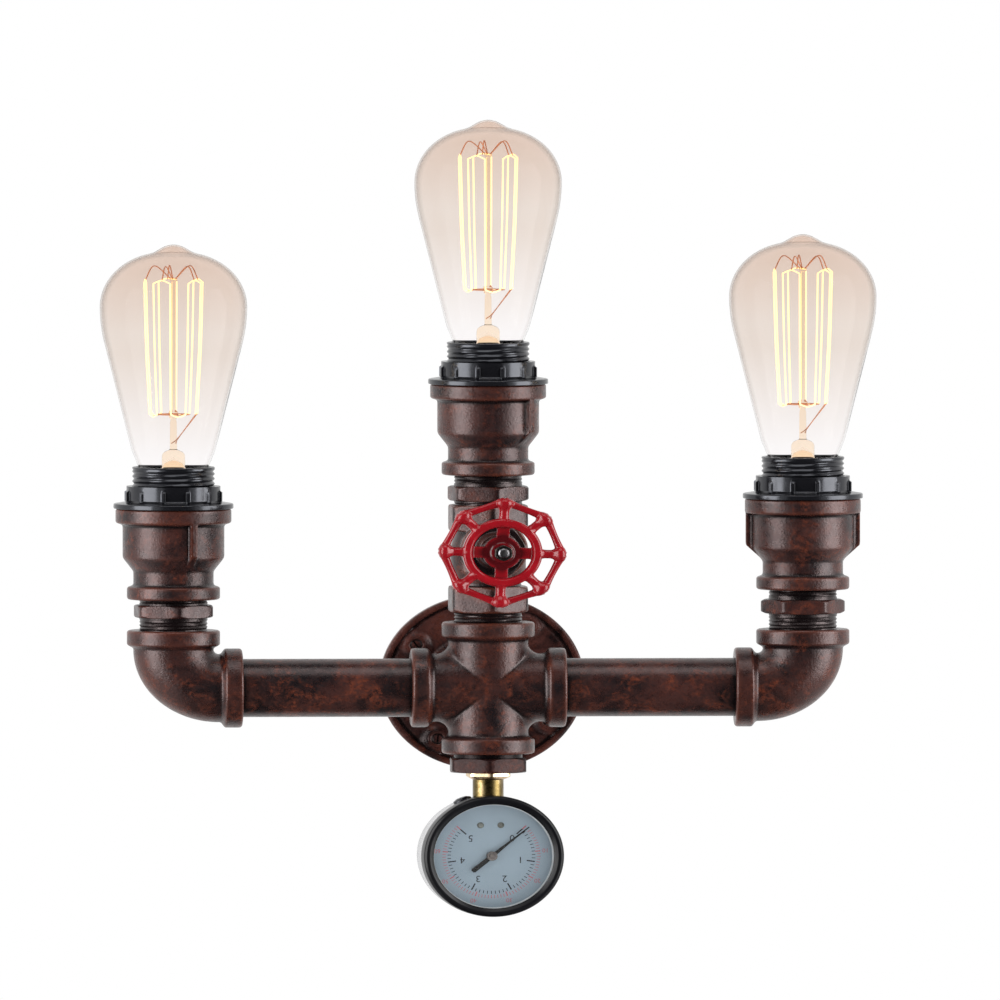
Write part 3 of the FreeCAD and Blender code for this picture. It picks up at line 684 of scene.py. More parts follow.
def oxblood_paint(name, worn=1.0, grain=1.0, lift=1.0, sheen=0.38):
    """Dark red-brown paint over near-black, in rust patches, black where it is hollow as patina and
    painted shade.

    Worn scales the rust, grain the bump, lift the red-brown's level and sheen the gloss.
    """
    colours = bpy.context.scene.pipe_light_colours
    finish = Finish(name, Metallic=0.0, Specular_IOR_Level=sheen,
                    Specular_Tint=(1.0, 0.82, 0.81, 1.0))
    hollow = finish.attribute("hollow")
    ground = finish.span(finish.noise(46, 5, 0.62, 0.6), 0.38, 0.60)
    patch = finish.span(finish.noise(95, 4, 0.6, 0.9), 0.49, 0.64)
    fleck = finish.span(finish.noise(520, 4, 0.7), 0.40, 0.62)
    speck = finish.span(finish.noise(1300, 3, 0.6), 0.58, 0.66)
    pit = finish.span(finish.noise(760, 3, 0.6), 0.56, 0.66)
    edge = finish.span(hollow, -0.10, -0.45)
    # Patina and painted shade: the hollows darken towards black.
    recess_shade = finish.span(hollow, 0.03, 0.26)
    paint = finish.mix(ground, colours.patina, [c * lift for c in colours.oxblood])
    rub = finish.maths("MULTIPLY", patch, finish.maths("MULTIPLY", fleck, 0.8 * worn))
    paint = finish.mix(rub, paint, colours.rust)
    paint = finish.mix(finish.maths("MULTIPLY", speck, 0.18 * worn), paint, colours.rust)
    paint = finish.mix(finish.maths("MULTIPLY", pit, 0.5), paint, colours.patina)
    bare = [c * 0.8 for c in colours.rust]
    paint = finish.mix(finish.maths("MULTIPLY", edge, 0.55 * worn), paint, bare)
    paint = finish.mix(finish.maths("MULTIPLY", recess_shade, 0.96), paint, [
        c * 0.5 for c in colours.patina])
    finish.feed("Base Color", paint)
    finish.feed("Roughness", finish.span(finish.noise(300, 4, 0.6), 0.3, 0.7, 0.21, 0.38))
    height = finish.maths(
        "ADD", finish.maths("MULTIPLY", finish.noise(900, 4, 0.6), 0.6),
        finish.maths("MULTIPLY", finish.noise(260, 3, 0.5), 0.4))
    finish.bump(height, 0.45 * grain, 0.0006)
    return finish.material


def gloss_paint(name, colour, roughness=0.16, painted_shade=0.0, waviness=0.12, sheen=0.5):
    """Smooth gloss paint with faint orange peel and painted shade where it is hollow."""
    finish = Finish(name, Roughness=roughness, Specular_IOR_Level=sheen)
    tone = finish.span(finish.noise(160, 3, 0.6), 0.3, 0.7)
    shade = finish.mix(tone, [c * 0.78 for c in colour], [min(1.0, c * 1.1) for c in colour])
    # Painted shade: darker red where the piece is hollow.
    if painted_shade:
        recess_shade = finish.span(finish.attribute("hollow"), 0.04, 0.5)
        shade = finish.mix(finish.maths("MULTIPLY", recess_shade, painted_shade), shade, WHEEL_SHADE)
    finish.feed("Base Color", shade)
    finish.bump(finish.noise(420, 2, 0.4), waviness, 0.0003)
    return finish.material


def black_moulding(name):
    """Black moulded plastic with a gloss skin and faint mould haze."""
    finish = Finish(name, Base_Color=(0.004, 0.004, 0.005, 1.0), Specular_IOR_Level=0.42,
                    Specular_Tint=(0.88, 0.91, 1.0, 1.0))
    haze = finish.noise(240, 4, 0.6)
    finish.feed("Roughness", finish.span(haze, 0.3, 0.7, 0.15, 0.26))
    finish.bump(finish.noise(700, 2, 0.5), 0.08, 0.0002)
    return finish.material


def metal(name, colour, roughness=0.3, worn=0.5):
    """Turned or pressed metal with tarnish blotches and a fine grain."""
    finish = Finish(name, Metallic=1.0)
    blotch = finish.span(finish.noise(170, 4, 0.6, 0.4), 0.45, 0.75, 0.0, worn)
    finish.feed("Base Color", finish.mix(blotch, colour, TARNISH))
    finish.feed("Roughness", finish.span(
        finish.noise(500, 3, 0.6), 0.3, 0.7, roughness * 0.8, roughness * 1.3))
    finish.bump(finish.noise(1400, 2, 0.5), 0.15, 0.0002)
    return finish.material


def aged_brass(name, bright, dull):
    """Brass that keeps its shine where it was machined last and is dull where it is "aged"."""
    finish = Finish(name, Metallic=1.0)
    blotch = finish.span(finish.noise(240, 4, 0.6, 0.4), 0.35, 0.75, 0.0, 0.35)
    share = finish.maths("ADD", finish.attribute("aged"), blotch)
    finish.feed("Base Color", finish.mix(share, bright, dull))
    finish.feed("Roughness", finish.span(finish.noise(500, 3, 0.6), 0.3, 0.7, 0.24, 0.38))
    finish.bump(finish.noise(1400, 2, 0.5, stretch=(1, 1, 6)), 0.15, 0.0002)
    return finish.material


def clear_glass(name, tint, ior=1.45):
    """Clear blown glass with faint waves in its wall."""
    finish = Finish(name, Base_Color=(*tint, 1.0), Transmission_Weight=1.0, Roughness=0.0,
                    IOR=ior, Specular_IOR_Level=0.2)
    finish.bump(finish.noise(55, 2, 0.4), 0.06, 0.0008)
    return finish.material


def blown_glass(name):
    """Blown glass: whiter at its foot, peach in its sides, greyer on top, and darker at its outline
    as a painted dark reflection.
    """
    colours = bpy.context.scene.pipe_light_colours
    finish = Finish(name, Transmission_Weight=1.0, Roughness=0.0, IOR=1.15,
                    Specular_Tint=(0.3, 0.3, 0.3, 1.0))
    rise = finish.attribute("rise")
    tint = finish.mix(finish.span(rise, 0.04, 0.50), colours.glass_foot, colours.glass_side)
    tint = finish.mix(finish.span(rise, 0.60, 0.95), tint, colours.glass_top)
    # Painted dark reflection: the glass darkens towards its outline, where it is seen edge on.
    facing_away = finish.put("ShaderNodeLayerWeight", {"Blend": 0.5}).outputs["Facing"]
    share = finish.maths("MULTIPLY", finish.span(facing_away, 0.60, 0.97), finish.span(
        rise, 0.0, 0.8, 0.45, 1.0))
    finish.feed("Base Color", finish.mix(share, tint, colours.glass_edge_shade))
    finish.bump(finish.noise(55, 2, 0.4), 0.06, 0.0008)
    return finish.material


def lit_strand(name, colour, strength):
    """Carbon strand that glows, a little unevenly."""
    finish = Finish(name, Base_Color=STRAND_BODY, Emission_Strength=strength,
                    Specular_IOR_Level=0.0)
    tone = finish.span(finish.noise(120, 2, 0.5), 0.3, 0.7)
    finish.feed("Emission Color", finish.mix(tone, colour, [min(1.0, c * 1.15) for c in colour]))
    return finish.material


def dial_enamel(name, colour):
    """Satin enamel with a faint mottle."""
    finish = Finish(name, Roughness=0.5, Specular_IOR_Level=0.15)
    tone = finish.span(finish.noise(90, 3, 0.5), 0.3, 0.7)
    finish.feed("Base Color", finish.mix(tone, [c * 0.95 for c in colour], colour))
    finish.bump(finish.noise(2000, 2, 0.5), 0.05, 0.0001)
    return finish.material


def banded_outline(reach):
    """Outside of a fitting's arm, from its centre out to its banded end."""
    start = reach - BAND_WIDTH
    return rounded([
        (0, 0), (BODY_R, 0), (BODY_R, start - 0.9, 1.6), (BAND_R, start + 0.9, 1.4),
        (BAND_R, reach, 1.3), (0, reach),
    ])


def cross_casting():
    """Cross: four arms in the wall's plane and one to the back, with webs between them."""
    arms = [lathe(banded_outline(CROSS_REACH)).placed(turn) for turn in ARMS.values()]
    length = CROSS_BEND_R * math.pi / 2
    bar = lathe([(0, 0), (CROSS_WEB_R, 0), (CROSS_WEB_R, length), (0, length)], step=1.5)
    flatter = np.diag([1, CROSS_WEB_DEPTH / CROSS_WEB_R, 1])
    web = bent(bar, 0, CROSS_BEND_R).placed(flatter)
    webs = [web.placed(about("Y", 90 * i)) for i in range(4)]
    root = lathe([(0, 0), (24.5, 4), (BODY_R, 24), (0, 24)]).placed(ARMS["back"])
    cuts = []
    for turn in ARMS.values():
        cuts.append(rod(SOCKET_R, CROSS_REACH - GRIP - 1, CROSS_REACH + 1).placed(turn))
        cuts.append(rod(BORE_R, 0.5, CROSS_REACH).placed(turn))
    surfaces = [surface.moved(AXIS) for surface in arms + webs + [root]]
    return relief(casting("cross_casting", surfaces, [cut.moved(AXIS) for cut in cuts]))


def elbow_casting(side, turn):
    """Elbow: a banded outline carried round a quarter bend, hollow inside."""
    length = 2 * ELBOW_RUN + ELBOW_BEND_R * math.pi / 2
    band = BAND_WIDTH
    outline = rounded([
        (SOCKET_R, 0, 0.5), (BAND_R, 0, 1.3), (BAND_R, band - 0.9, 1.4), (BODY_R, band + 0.9, 1.6),
        (BODY_R, length - band - 0.9, 1.6), (BAND_R, length - band + 0.9, 1.4),
        (BAND_R, length, 1.3), (SOCKET_R, length, 0.5), (SOCKET_R, length - GRIP),
        (BORE_R, length - GRIP), (BORE_R, GRIP), (SOCKET_R, GRIP),
    ])
    surface = bent(lathe(outline, 128, step=0.9), ELBOW_RUN, ELBOW_BEND_R)
    placed = surface.placed(about("Z", turn), (LAMP_X[side], AXIS_Y, 0))
    return relief(mesh_object(side + "_elbow_casting", [placed]))


def flange_places():
    """Places of the flange's four screws, on its own axis."""
    angles = [math.radians(SCREW_TURN + 90 * i) for i in range(4)]
    return [(SCREW_CIRCLE_R * math.cos(a), SCREW_CIRCLE_R * math.sin(a), 0) for a in angles]


def flange_casting():
    """Wall flange: a plate inside a grooved lip, a hub and four ringed bosses."""
    hub = -extent("wall_flange")[0][1]
    lip, plate, seat = 7.6, 5.4, 8.0
    disc = lathe(rounded([
        (BORE_R, 0), (FLANGE_R, 0, 0.6), (FLANGE_R, lip - 1.0, 0.9), (FLANGE_R - 1.0, lip, 0.5),
        (FLANGE_R - 2.7, lip, 0.6), (FLANGE_R - 3.4, plate - 0.6, 0.4),
        (FLANGE_R - 4.5, plate - 0.6, 0.4), (FLANGE_R - 5.3, plate, 0.5), (25.5, plate, 3.0),
        (BAND_R, 11.5, 2.5), (BAND_R, hub, 1.3), (SOCKET_R, hub, 0.5), (SOCKET_R, seat),
        (BORE_R, seat),
    ]), 180)
    boss = lathe(rounded([
        (0, 0.5), (8.0, 0.5), (8.0, plate, 1.0), (6.2, plate + 0.6, 0.6), (5.4, 7.0, 0.6),
        (4.6, 7.3, 0.3), (4.5, 8.6, 0.5), (3.1, 8.6, 0.4), (3.0, 7.5, 0.2), (0, 7.5)]), 48)
    bosses = [boss.moved(at) for at in flange_places()]
    holes = [rod(SCREW_HOLE_R, -1, 12, 40).moved(at) for at in flange_places()]
    turn = facing(0)
    return relief(casting(
        "flange_casting", [surface.placed(turn) for surface in [disc] + bosses],
        [surface.placed(turn) for surface in holes], voxel=0.0006, rounds=2), 0.5)


def wall_screws():
    """Four painted wall screws: a slotted pan head in each ring, on a plain shank."""
    head = lathe(rounded([
        (0, 1.0), (2.4, 1.0), (2.4, 7.55), (2.95, 7.55, 0.1), (2.95, 8.0, 0.3), (1.6, 8.45, 1.5),
        (0, 8.5)]), 40)
    turn = facing(0)
    places = [turn @ np.array(at) for at in flange_places()]
    obj = mesh_object("wall_screws", [head.placed(turn, at) for at in places])
    first_turn, turn_step = 20, 37
    slot = slab([(-3.2, -0.4), (3.2, -0.4), (3.2, 0.4), (-3.2, 0.4)], -9, -8.05)
    slots = [slot.placed(about("Y", first_turn + turn_step * i), at) for i, at in enumerate(places)]
    boolean(obj, slots, "DIFFERENCE")
    # Patina and painted shade where the head sits in its ring.
    return store_patina_and_shade(obj, lambda p: close_to(p, 1, [-7.6, -8.05], 0.5, 0.2))


def threaded(low, high, depth, pitch, start=0.0):
    """Shape for a lathe that cuts a thread: r falls by depth times a triangle wave.

    The wave's phase is z / pitch - a / turn, so that its ridges climb as one helix, and it
    fades at both ends of the threaded stretch.
    """
    def shape(r, z, a):
        phase = (z / pitch - a / TURN + start) % 1.0
        ridge = np.abs(2 * phase - 1)
        fade = np.clip(np.minimum(z - low, high - z) / (0.6 * pitch), 0, 1)
        return r - depth * ridge * fade, z
    return shape


def pipe_piece(name, low, high, bore, turn, threads=(), mouths=()):
    """Pipe about its axis with cut threads, and patina with painted shade where fittings take it.
    """
    outline = rounded([
        (bore, low, 0.3), (PIPE_R, low, 0.5), (PIPE_R, high, 0.5), (bore, high, 0.3)])

    def shape(r, z, a):
        outside = r > PIPE_R - 0.01
        cut = r
        for start, end in threads:
            inside = outside & (z > start) & (z < end)
            ridged = threaded(start, end, PIPE_THREAD_DEPTH, PIPE_PITCH)(r, z, a)[0]
            cut = np.where(inside, ridged, cut)
        return cut, z
    step = 0.35 if threads else 1.2
    surface = lathe(outline, 96, shape, step)
    obj = mesh_object(name, [surface.placed(turn, AXIS)])

    # Patina and painted shade: darker near the fittings' mouths and below the pipe's outer surface.
    def hollow(points):
        along = np.abs((points - AXIS) @ turn)
        radius = np.hypot(along[:, 0], along[:, 1])
        return close_to(along, 2, mouths) + np.clip(PIPE_R - radius, 0, 0.6)
    return store_patina_and_shade(obj, hollow)


def back_nipple():
    """Plain nipple between the flange and the cross."""
    box = extent("back_nipple")
    low, high = -box[1][1], -box[0][1]
    tube = lathe(rounded([(BORE_R, low), (PIPE_R, low), (PIPE_R, high), (BORE_R, high)]))
    obj = mesh_object("back_nipple_tube", [tube.placed(facing(0))])
    return store_patina_and_shade(obj, lambda p: close_to(p, 1, [low]))


def hex_nipple(lamp):
    """Hex nipple: a threaded tube with a hex collar whose corners are cut."""
    low, high = levels(lamp + "_hex_nipple")
    hex_low, hex_high = HEX_LEVELS[lamp]
    corner = corner_radius(NIPPLE_FLATS)
    outline = rounded([
        (BORE_R, low, 0.3), (PIPE_R, low, 0.4), (PIPE_R, hex_low, 0.5), (corner, hex_low, 0.4),
        (corner, hex_high, 0.4), (PIPE_R, hex_high, 0.5), (PIPE_R, high, 0.4), (BORE_R, high, 0.3),
    ])
    hexed = hexagonal(NIPPLE_FLATS, PIPE_R, 1.4, hex_low, hex_high)
    below = threaded(low, hex_low - 0.6, PIPE_THREAD_DEPTH, PIPE_PITCH)
    above = threaded(hex_high + 0.6, high, PIPE_THREAD_DEPTH, PIPE_PITCH)

    def shape(r, z, a):
        tube = np.abs(r - PIPE_R) < 0.01
        r = np.where(tube & (z < hex_low), below(r, z, a)[0], r)
        r = np.where(tube & (z > hex_high), above(r, z, a)[0], r)
        return hexed(r, z, a)
    x = LAMP_X[lamp]
    surface = lathe(outline, 144, shape, 0.4).placed(about("Z", HEX_TURNS[lamp]), (x, AXIS_Y, 0))
    return store_patina_and_shade(mesh_object(lamp + "_nipple_hex", [surface]), hex_patina_and_shade(x))


def hex_patina_and_shade(x):
    """Patina and painted shade of a hex collar on an upright tube: painted shade in its necks,
    patina along its corners.
    """
    corner = corner_radius(NIPPLE_FLATS)

    def hollow(points):
        radius = np.hypot(points[:, 0] - x, points[:, 1] - AXIS_Y)
        # Painted shade in the necks.
        neck = 0.5 * (radius < PIPE_R + 0.5)
        return neck + np.interp(radius, [corner - 0.95, corner - 0.6], [0, 0.2])
    return hollow


def at_lamp(lamp, own_levels):
    """Point of a lamp's axis at that lamp's own level."""
    return (LAMP_X[lamp], AXIS_Y, own_levels[lamp])


def lamp_piece(name, lamp, own_levels, surfaces):
    """One object of surfaces built about Z and moved to a lamp's own level."""
    at = at_lamp(lamp, own_levels)
    return mesh_object(lamp + name, [surface.moved(at) for surface in surfaces])


def reducer_casting(lamp):
    """Bell reducer: banded at both ends, with two casting ribs and a seam down its sides."""
    top = REDUCER_TOP[lamp] - REDUCER_SEAT[lamp]
    rib_angle = RIB_ANGLES[lamp]
    outside = lathe(rounded([
        (0, 0), (BAND_R, 0, 1.2), (BAND_R, 6.4, 1.1), (BODY_R, 7.4, 1.2), (BODY_R, 14.6, 2.5),
        (BELL_R, 21.6, 4.0), (BELL_R, 38.6, 1.2), (25.4, 39.7, 1.1), (25.4, top, 1.2), (0, top),
    ]), 160)
    rib = slab([
        (16, 15.4), (18.6, 16.2), (24.9, 22.8), (25.1, 24.2), (25.1, top - 2.4), (16, top - 2.4),
    ], -1.6, 1.6)
    ribs = [rib.placed(about("Z", rib_angle + side)) for side in (-90, 90)]
    cuts = [rod(SOCKET_R, -1, GRIP), rod(BORE_R, 0, 30), rod(20.0, 25, top + 1, 96)]
    at = at_lamp(lamp, REDUCER_SEAT)
    surfaces = [surface.moved(at) for surface in [outside] + ribs]

    def beside(points):
        """Patina along the mould's seam below the bell, and patina with painted shade under both
        bands, where the reducer meets its neighbours.
        """
        own = points - at
        off = np.abs(own @ about("Z", rib_angle)[:, 0])
        low = own[:, 2] < 16
        return 0.2 * low * np.exp(-(off / 0.5) ** 2) + close_to(own, 2, [0, top], 0.3, 0.6)
    obj = casting(lamp + "_reducer_casting", surfaces, [cut.moved(at) for cut in cuts], rounds=2)
    return relief(obj, 1.0, beside)


def lampholder(lamp):
    """Lampholder: a moulded cup with a coarse thread round its open end."""
    sizes = bpy.context.scene.pipe_light_sizes
    rim = HOLDER_RIM[lamp] - REDUCER_TOP[lamp]
    low = levels(lamp + "_lampholder")[0] - REDUCER_TOP[lamp]
    outer = 18.2
    thread_foot = 8.0
    thread_pitch = 2.5
    outline = rounded([
        (0, low), (outer, low, 0.5), (outer, rim, 0.7), (16.3, rim, 0.6), (16.3, 9.5, 0.4),
        (13.95, 9.5, 0.3), (13.95, -11.5), (0, -11.5),
    ])
    cut = threaded(thread_foot, rim - 0.5, sizes.thread_depth / MM, thread_pitch, 0.35)

    def shape(r, z, a):
        outside = (r > outer - 0.01) & (z > thread_foot)
        return np.where(outside, cut(r, z, a)[0], r), z
    return lamp_piece("_holder_moulding", lamp, REDUCER_TOP, [lathe(outline, 128, shape, 0.4)])


def shade_ring(lamp):
    """Shade ring: a sloped flange and a collar with narrow grip ribs.

    A rib stands at full height out to its half width and up to its top, and falls off evenly
    past both.
    """
    ribs = 12
    half = math.pi / ribs
    collar_r = 20.6
    rib_height, rib_half_width, rib_top = 1.2, 0.95, 9.4
    side_fall, top_fall = 0.25, 0.5
    outline = rounded([
        (18.25, 0), (26.3, 0, 0.4), (26.3, 2.5, 0.7), (21.6, 3.4, 0.8), (collar_r, 4.3, 0.5),
        (collar_r, 11.6, 0.7), (18.25, 11.6, 0.3),
    ])

    def shape(r, z, a):
        off = np.abs((a + half) % (2 * half) - half) * collar_r
        rib = np.clip((rib_half_width - off) / side_fall, 0, 1)
        rib = rib * np.clip((rib_top - z) / top_fall, 0, 1)
        collar = (r > 20.0) & (z > 3.6)
        return np.where(collar, np.maximum(r, collar_r + rib_height * rib * (r > 20.3)), r), z
    surface = lathe(outline, 420, shape, 0.8).placed(about("Z", math.degrees(half)))
    return lamp_piece("_ring_moulding", lamp, REDUCER_TOP, [surface])


def arc(centre, radius, start, end, steps):
    """Points (r, z) along an arc, its angles in degrees."""
    a = np.radians(np.linspace(start, end, steps))
    return np.column_stack([centre[0] + radius * np.cos(a), centre[1] + radius * np.sin(a)])


def glass_outline():
    """Outer outline of a bulb: sealed tip, dome, side, long cone and neck.

    The dome and the side are arcs with their centres on one level, so they meet smoothly
    where the bulb is widest.
    """
    side = (DOME[0] + DOME_R - SIDE_R, DOME[1])
    drop = ((-3.4, 0.7), (0, 0), (3.4, 0.7), (6.4, 2.5), (8.5, 3.9), (10.9, 4.75))
    tip = curve([(r, GLASS_TOP - fall) for r, fall in drop], 6)[6:-1]
    dome = arc(DOME, DOME_R, 76, 2, 26)
    flank = arc(side, SIDE_R, -1, -11.5, 8)
    foot = rounded([flank[-1], (18.4, 8.4, 30), (15.8, 1.0, 8), (13.1, -5.0, 0.2), (12.7, -5.0),
                    (12.7, -9.0)], 8)[1:]
    return np.vstack([tip, dome, flank, foot])


def inset(outline, depth):
    """Outline moved inwards along its normals, never past the axis."""
    along = np.gradient(outline, axis=0)
    along /= np.linalg.norm(along, axis=1, keepdims=True)
    inner = outline + depth * np.column_stack([along[:, 1], -along[:, 0]])
    inner[:, 0] = np.maximum(inner[:, 0], 0)
    return inner


def bulb_glass(lamp):
    """Bulb glass: an outer outline and the same one inset by the wall, closed at the neck."""
    sizes = bpy.context.scene.pipe_light_sizes
    outer = glass_outline()
    inner = inset(outer[:-3], sizes.glass_wall / MM)
    inner = inner[inner[:, 0] > 0.3][::-1]
    neck = np.array([(11.9, -9.0), (11.9, -5.4)])
    crown = np.array([(0, inner[-1, 1] + 0.02)])
    outline = np.vstack([outer, neck, inner[inner[:, 1] > -4.0], crown])
    surface = lathe(outline)
    obj = lamp_piece("_glass_blown", lamp, HOLDER_RIM, [surface])
    mark(obj, "rise", np.clip(surface.points[:, 2] / GLASS_TOP, 0, 1))
    return obj


def cage_point(index, level):
    """Point where strand number index meets the upper or lower hooks.

    The strands stand evenly round the cage, the first a quarter of a step past +X.
    """
    first = 0.25
    angle = TURN * (index + first) / STRANDS
    radius, height = level
    return np.array([radius * math.cos(angle), radius * math.sin(angle), height])


def curve(points, count=16):
    """Smooth path through a few points: Catmull-Rom, each span a cubic of its neighbours."""
    points = np.asarray(points, float)
    padded = np.vstack([2 * points[0] - points[1], points, 2 * points[-1] - points[-2]])
    t = np.linspace(0, 1, count, endpoint=False)[:, None]
    spans = []
    for i in range(len(points) - 1):
        p, q, r, s = padded[i:i + 4]
        spans.append(0.5 * (2 * q + (r - p) * t + (2 * p - 5 * q + 4 * r - s) * t ** 2
                            + (3 * q - p - 3 * r + s) * t ** 3))
    return np.vstack(spans + [points[-1:]])


def filament(lamp):
    """Strands strung up and down the cage, each a thin tube with a slight sag outwards."""
    sag = 1.03
    strand_r, turn_r = 0.34, 0.3
    surfaces = []
    for i in range(STRANDS):
        low = cage_point(i, CAGE_LOW)
        high = cage_point(i, CAGE_HIGH)
        middle = (low + high) / 2 * [sag, sag, 1]
        surfaces.append(sweep(curve([low, middle, high], 12), strand_r, 8))
    for i in range(STRANDS - 1):
        level = CAGE_HIGH if i % 2 == 0 else CAGE_LOW
        lift = 1.6 if i % 2 == 0 else -1.2
        start, end = cage_point(i, level), cage_point(i + 1, level)
        turn = (start + end) / 2 + [0, 0, lift]
        surfaces.append(sweep(curve([start, turn, end], 6), turn_r, 8))
    return lamp_piece("_strands", lamp, HOLDER_RIM, surfaces)


def filament_hooks(lamp):
    """Support wires: hooks from the glass rod to the strands, two leads and a ring."""
    hook_r, lead_r, ring_wire_r = 0.27, 0.22, 0.25
    surfaces = []
    for i in range(STRANDS - 1):
        upper = i % 2 == 0
        level = CAGE_HIGH if upper else CAGE_LOW
        eye = (cage_point(i, level) + cage_point(i + 1, level)) / 2
        eye[2] += 1.2 if upper else -0.9
        out = np.array([eye[0], eye[1], 0]) / math.hypot(eye[0], eye[1])
        root = out * 1.2 + [0, 0, ROD_TOP if upper else BEAD_Z]
        bow = out * (CROWN[0] if upper else RING_R) + [0, 0, CROWN[1] if upper else BEAD_Z]
        surfaces.append(sweep(curve([root, bow, eye], 8), hook_r, 8))
    for i, side in ((0, 1), (STRANDS - 1, -1)):
        end = cage_point(i, CAGE_LOW)
        root = np.array([0.8 * side, 0, 12.0])
        knee = np.array([end[0] * 0.25, end[1] * 0.25, 15.5])
        surfaces.append(sweep(curve([root, knee, end], 8), lead_r, 8))
    a = np.linspace(0, TURN, 48, endpoint=False)[:, None]
    loop = np.hstack([RING_R * np.cos(a), RING_R * np.sin(a), np.full_like(a, BEAD_Z)])
    surfaces.append(sweep(loop, ring_wire_r, 8, closed=True))
    return lamp_piece("_hooks", lamp, HOLDER_RIM, surfaces)


def bulb_stem(lamp):
    """Glass stem: flare sealed to the neck, dome, pinch and the rod that carries the hooks."""
    outline = rounded([
        (0, 5.0), (4.0, 2.0, 2.0), (8.4, -9.0), (11.9, -9.0), (11.9, -8.0), (6.0, -3.0, 3.0),
        (5.1, 0.0, 1.5), (5.1, 7.2, 4.4), (1.6, 8.9, 0.5), (1.5, 23.0, 0.8), (1.1, 24.6, 0.6),
        (2.1, 26.0, 0.9), (2.1, 28.2, 0.9), (1.1, 29.6, 0.6), (1.1, 95.4, 0.4), (1.9, 96.4, 0.8),
        (1.5, 97.6, 0.6), (0, 97.8),
    ])
    return lamp_piece("_stem_glass", lamp, HOLDER_RIM, [lathe(outline, 48)])


def valve_casting():
    """Valve body: hex ends, a swelling barrel and the boss that faces the room."""
    low, high = levels("valve_body")
    middle = (low + high) / 2
    low_hex, high_hex = low + 13.6, high - 13.6
    corner = corner_radius(VALVE_FLATS)

    def hex_end(start, end):
        outline = rounded([(0, start), (corner, start, 0.4), (corner, end, 0.4), (0, end)])
        return lathe(outline, 180, hexagonal(VALVE_FLATS, 8.0, 1.2, start, end), 0.6)
    barrel = lathe(rounded([
        (0, low + 6), (14.4, low + 6), (14.4, low_hex + 1.5, 2.0), (16.6, middle - 6, 8.0),
        (16.6, middle + 6, 8.0), (14.4, high_hex - 1.5, 2.0), (14.4, high - 6), (0, high - 6),
    ]))
    boss = lathe(rounded([
        (0, 0), (13.6, 0), (13.6, 20.3, 0.8), (14.9, 21.0, 0.8), (14.9, 24.0, 0.8), (0, 24.0),
    ])).placed(facing(0), (0, 0, WHEEL_Z))
    ends = [hex_end(low, low_hex), hex_end(high_hex, high)]
    cuts = [rod(SOCKET_R, low - 1, low + 10), rod(SOCKET_R, high - 10, high + 1),
            rod(11.0, low + 5, high - 5),
            rod(10.2, 0, 26).placed(facing(0), (0, 0, WHEEL_Z))]
    turn = about("Z", math.degrees(VALVE_YAW))
    surfaces = [surface.placed(turn, AXIS) for surface in [barrel, boss] + ends]

    def corners(points):
        """Patina along the corners of both hex ends."""
        radius = np.hypot(points[:, 0], points[:, 1] - AXIS_Y)
        hexes = radius < corner + 0.5
        return hexes * np.interp(radius, [corner - 1.1, corner - 0.7], [0, 0.45])
    cast = casting("valve_casting", surfaces, [cut.placed(turn, AXIS) for cut in cuts], rounds=3)
    return relief(cast, 1.0, corners)


def on_stem(surface):
    """Places a piece built along Z on the valve's stem axis."""
    return surface.placed(facing(VALVE_YAW), (0, AXIS_Y, WHEEL_Z))


def hex_on_stem(name, flats, outline, core, low, high, turn):
    """Turned piece on the stem's axis whose widest stretch, from low to high, is a hex."""
    surface = lathe(rounded(outline), 144, hexagonal(flats, core, 0.9, low, high), 0.35)
    obj = mesh_object(name, [on_stem(surface.placed(about("Z", turn)))])
    # Patina and painted shade at both ends of the hex.
    mark(obj, "hollow", close_to(surface.points, 2, [low, high], 0.35, 0.5))
    return obj


def bonnet_piece():
    """Bonnet: a hex over the boss and a tapered neck for the gland nut."""
    flats = 25.0
    foot, top, seat_r = 24.0, 31.0, 10.1
    corner = corner_radius(flats)
    return hex_on_stem("bonnet_hex", flats, [
        (3.66, 27), (6.2, 27), (6.2, 15), (seat_r, 15, 0.4), (seat_r, foot), (corner, foot, 0.3),
        (corner, top, 0.5), (9.6, top, 0.8), (8.4, 37.0, 0.6), (6.2, 37.0), (6.2, 32), (3.66, 32),
    ], seat_r, foot, top, 30)


def gland_piece():
    """Gland nut on the bonnet's neck."""
    flats = 15.0
    foot, top, seat_r = 37.0, 45.5, 6.15
    corner = corner_radius(flats)
    return hex_on_stem("gland_nut_hex", flats, [
        (3.66, 36), (seat_r, 36), (seat_r, foot), (corner, foot, 0.3), (corner, top, 0.6),
        (4.6, top, 0.4), (3.66, 45.2),
    ], seat_r, foot, top, 12)


def stem_piece():
    """Valve stem: a turned rod with its thrust collar and a slim domed end past the nut."""
    outline = rounded([
        (0, 16), (3.6, 16, 0.4), (3.6, 23.7), (5.9, 23.7, 0.3), (5.9, 26.7, 0.3), (3.6, 26.7),
        (3.6, HUB_FOOT), (2.6, HUB_FOOT), (2.6, 57.9, 0.5), (1.9, 58.6, 0.6), (0, 59.0),
    ])
    return mesh_object("stem_turned", [on_stem(lathe(outline, 64))])


def wheel_nut():
    """Nut with a broad washer face that holds the wheel on its stem."""
    flats = 7.6
    top = 57.6
    corner = corner_radius(flats)
    return hex_on_stem("wheel_nut_hex", flats, [
        (STEM_HOLE_R, HUB_FRONT), (corner, HUB_FRONT, 0.2), (corner, top, 0.4), (3.4, top, 0.2),
        (3.1, top - 0.4, 0.2), (STEM_HOLE_R, top - 0.4),
    ], 3.5, HUB_FRONT, top, 0)


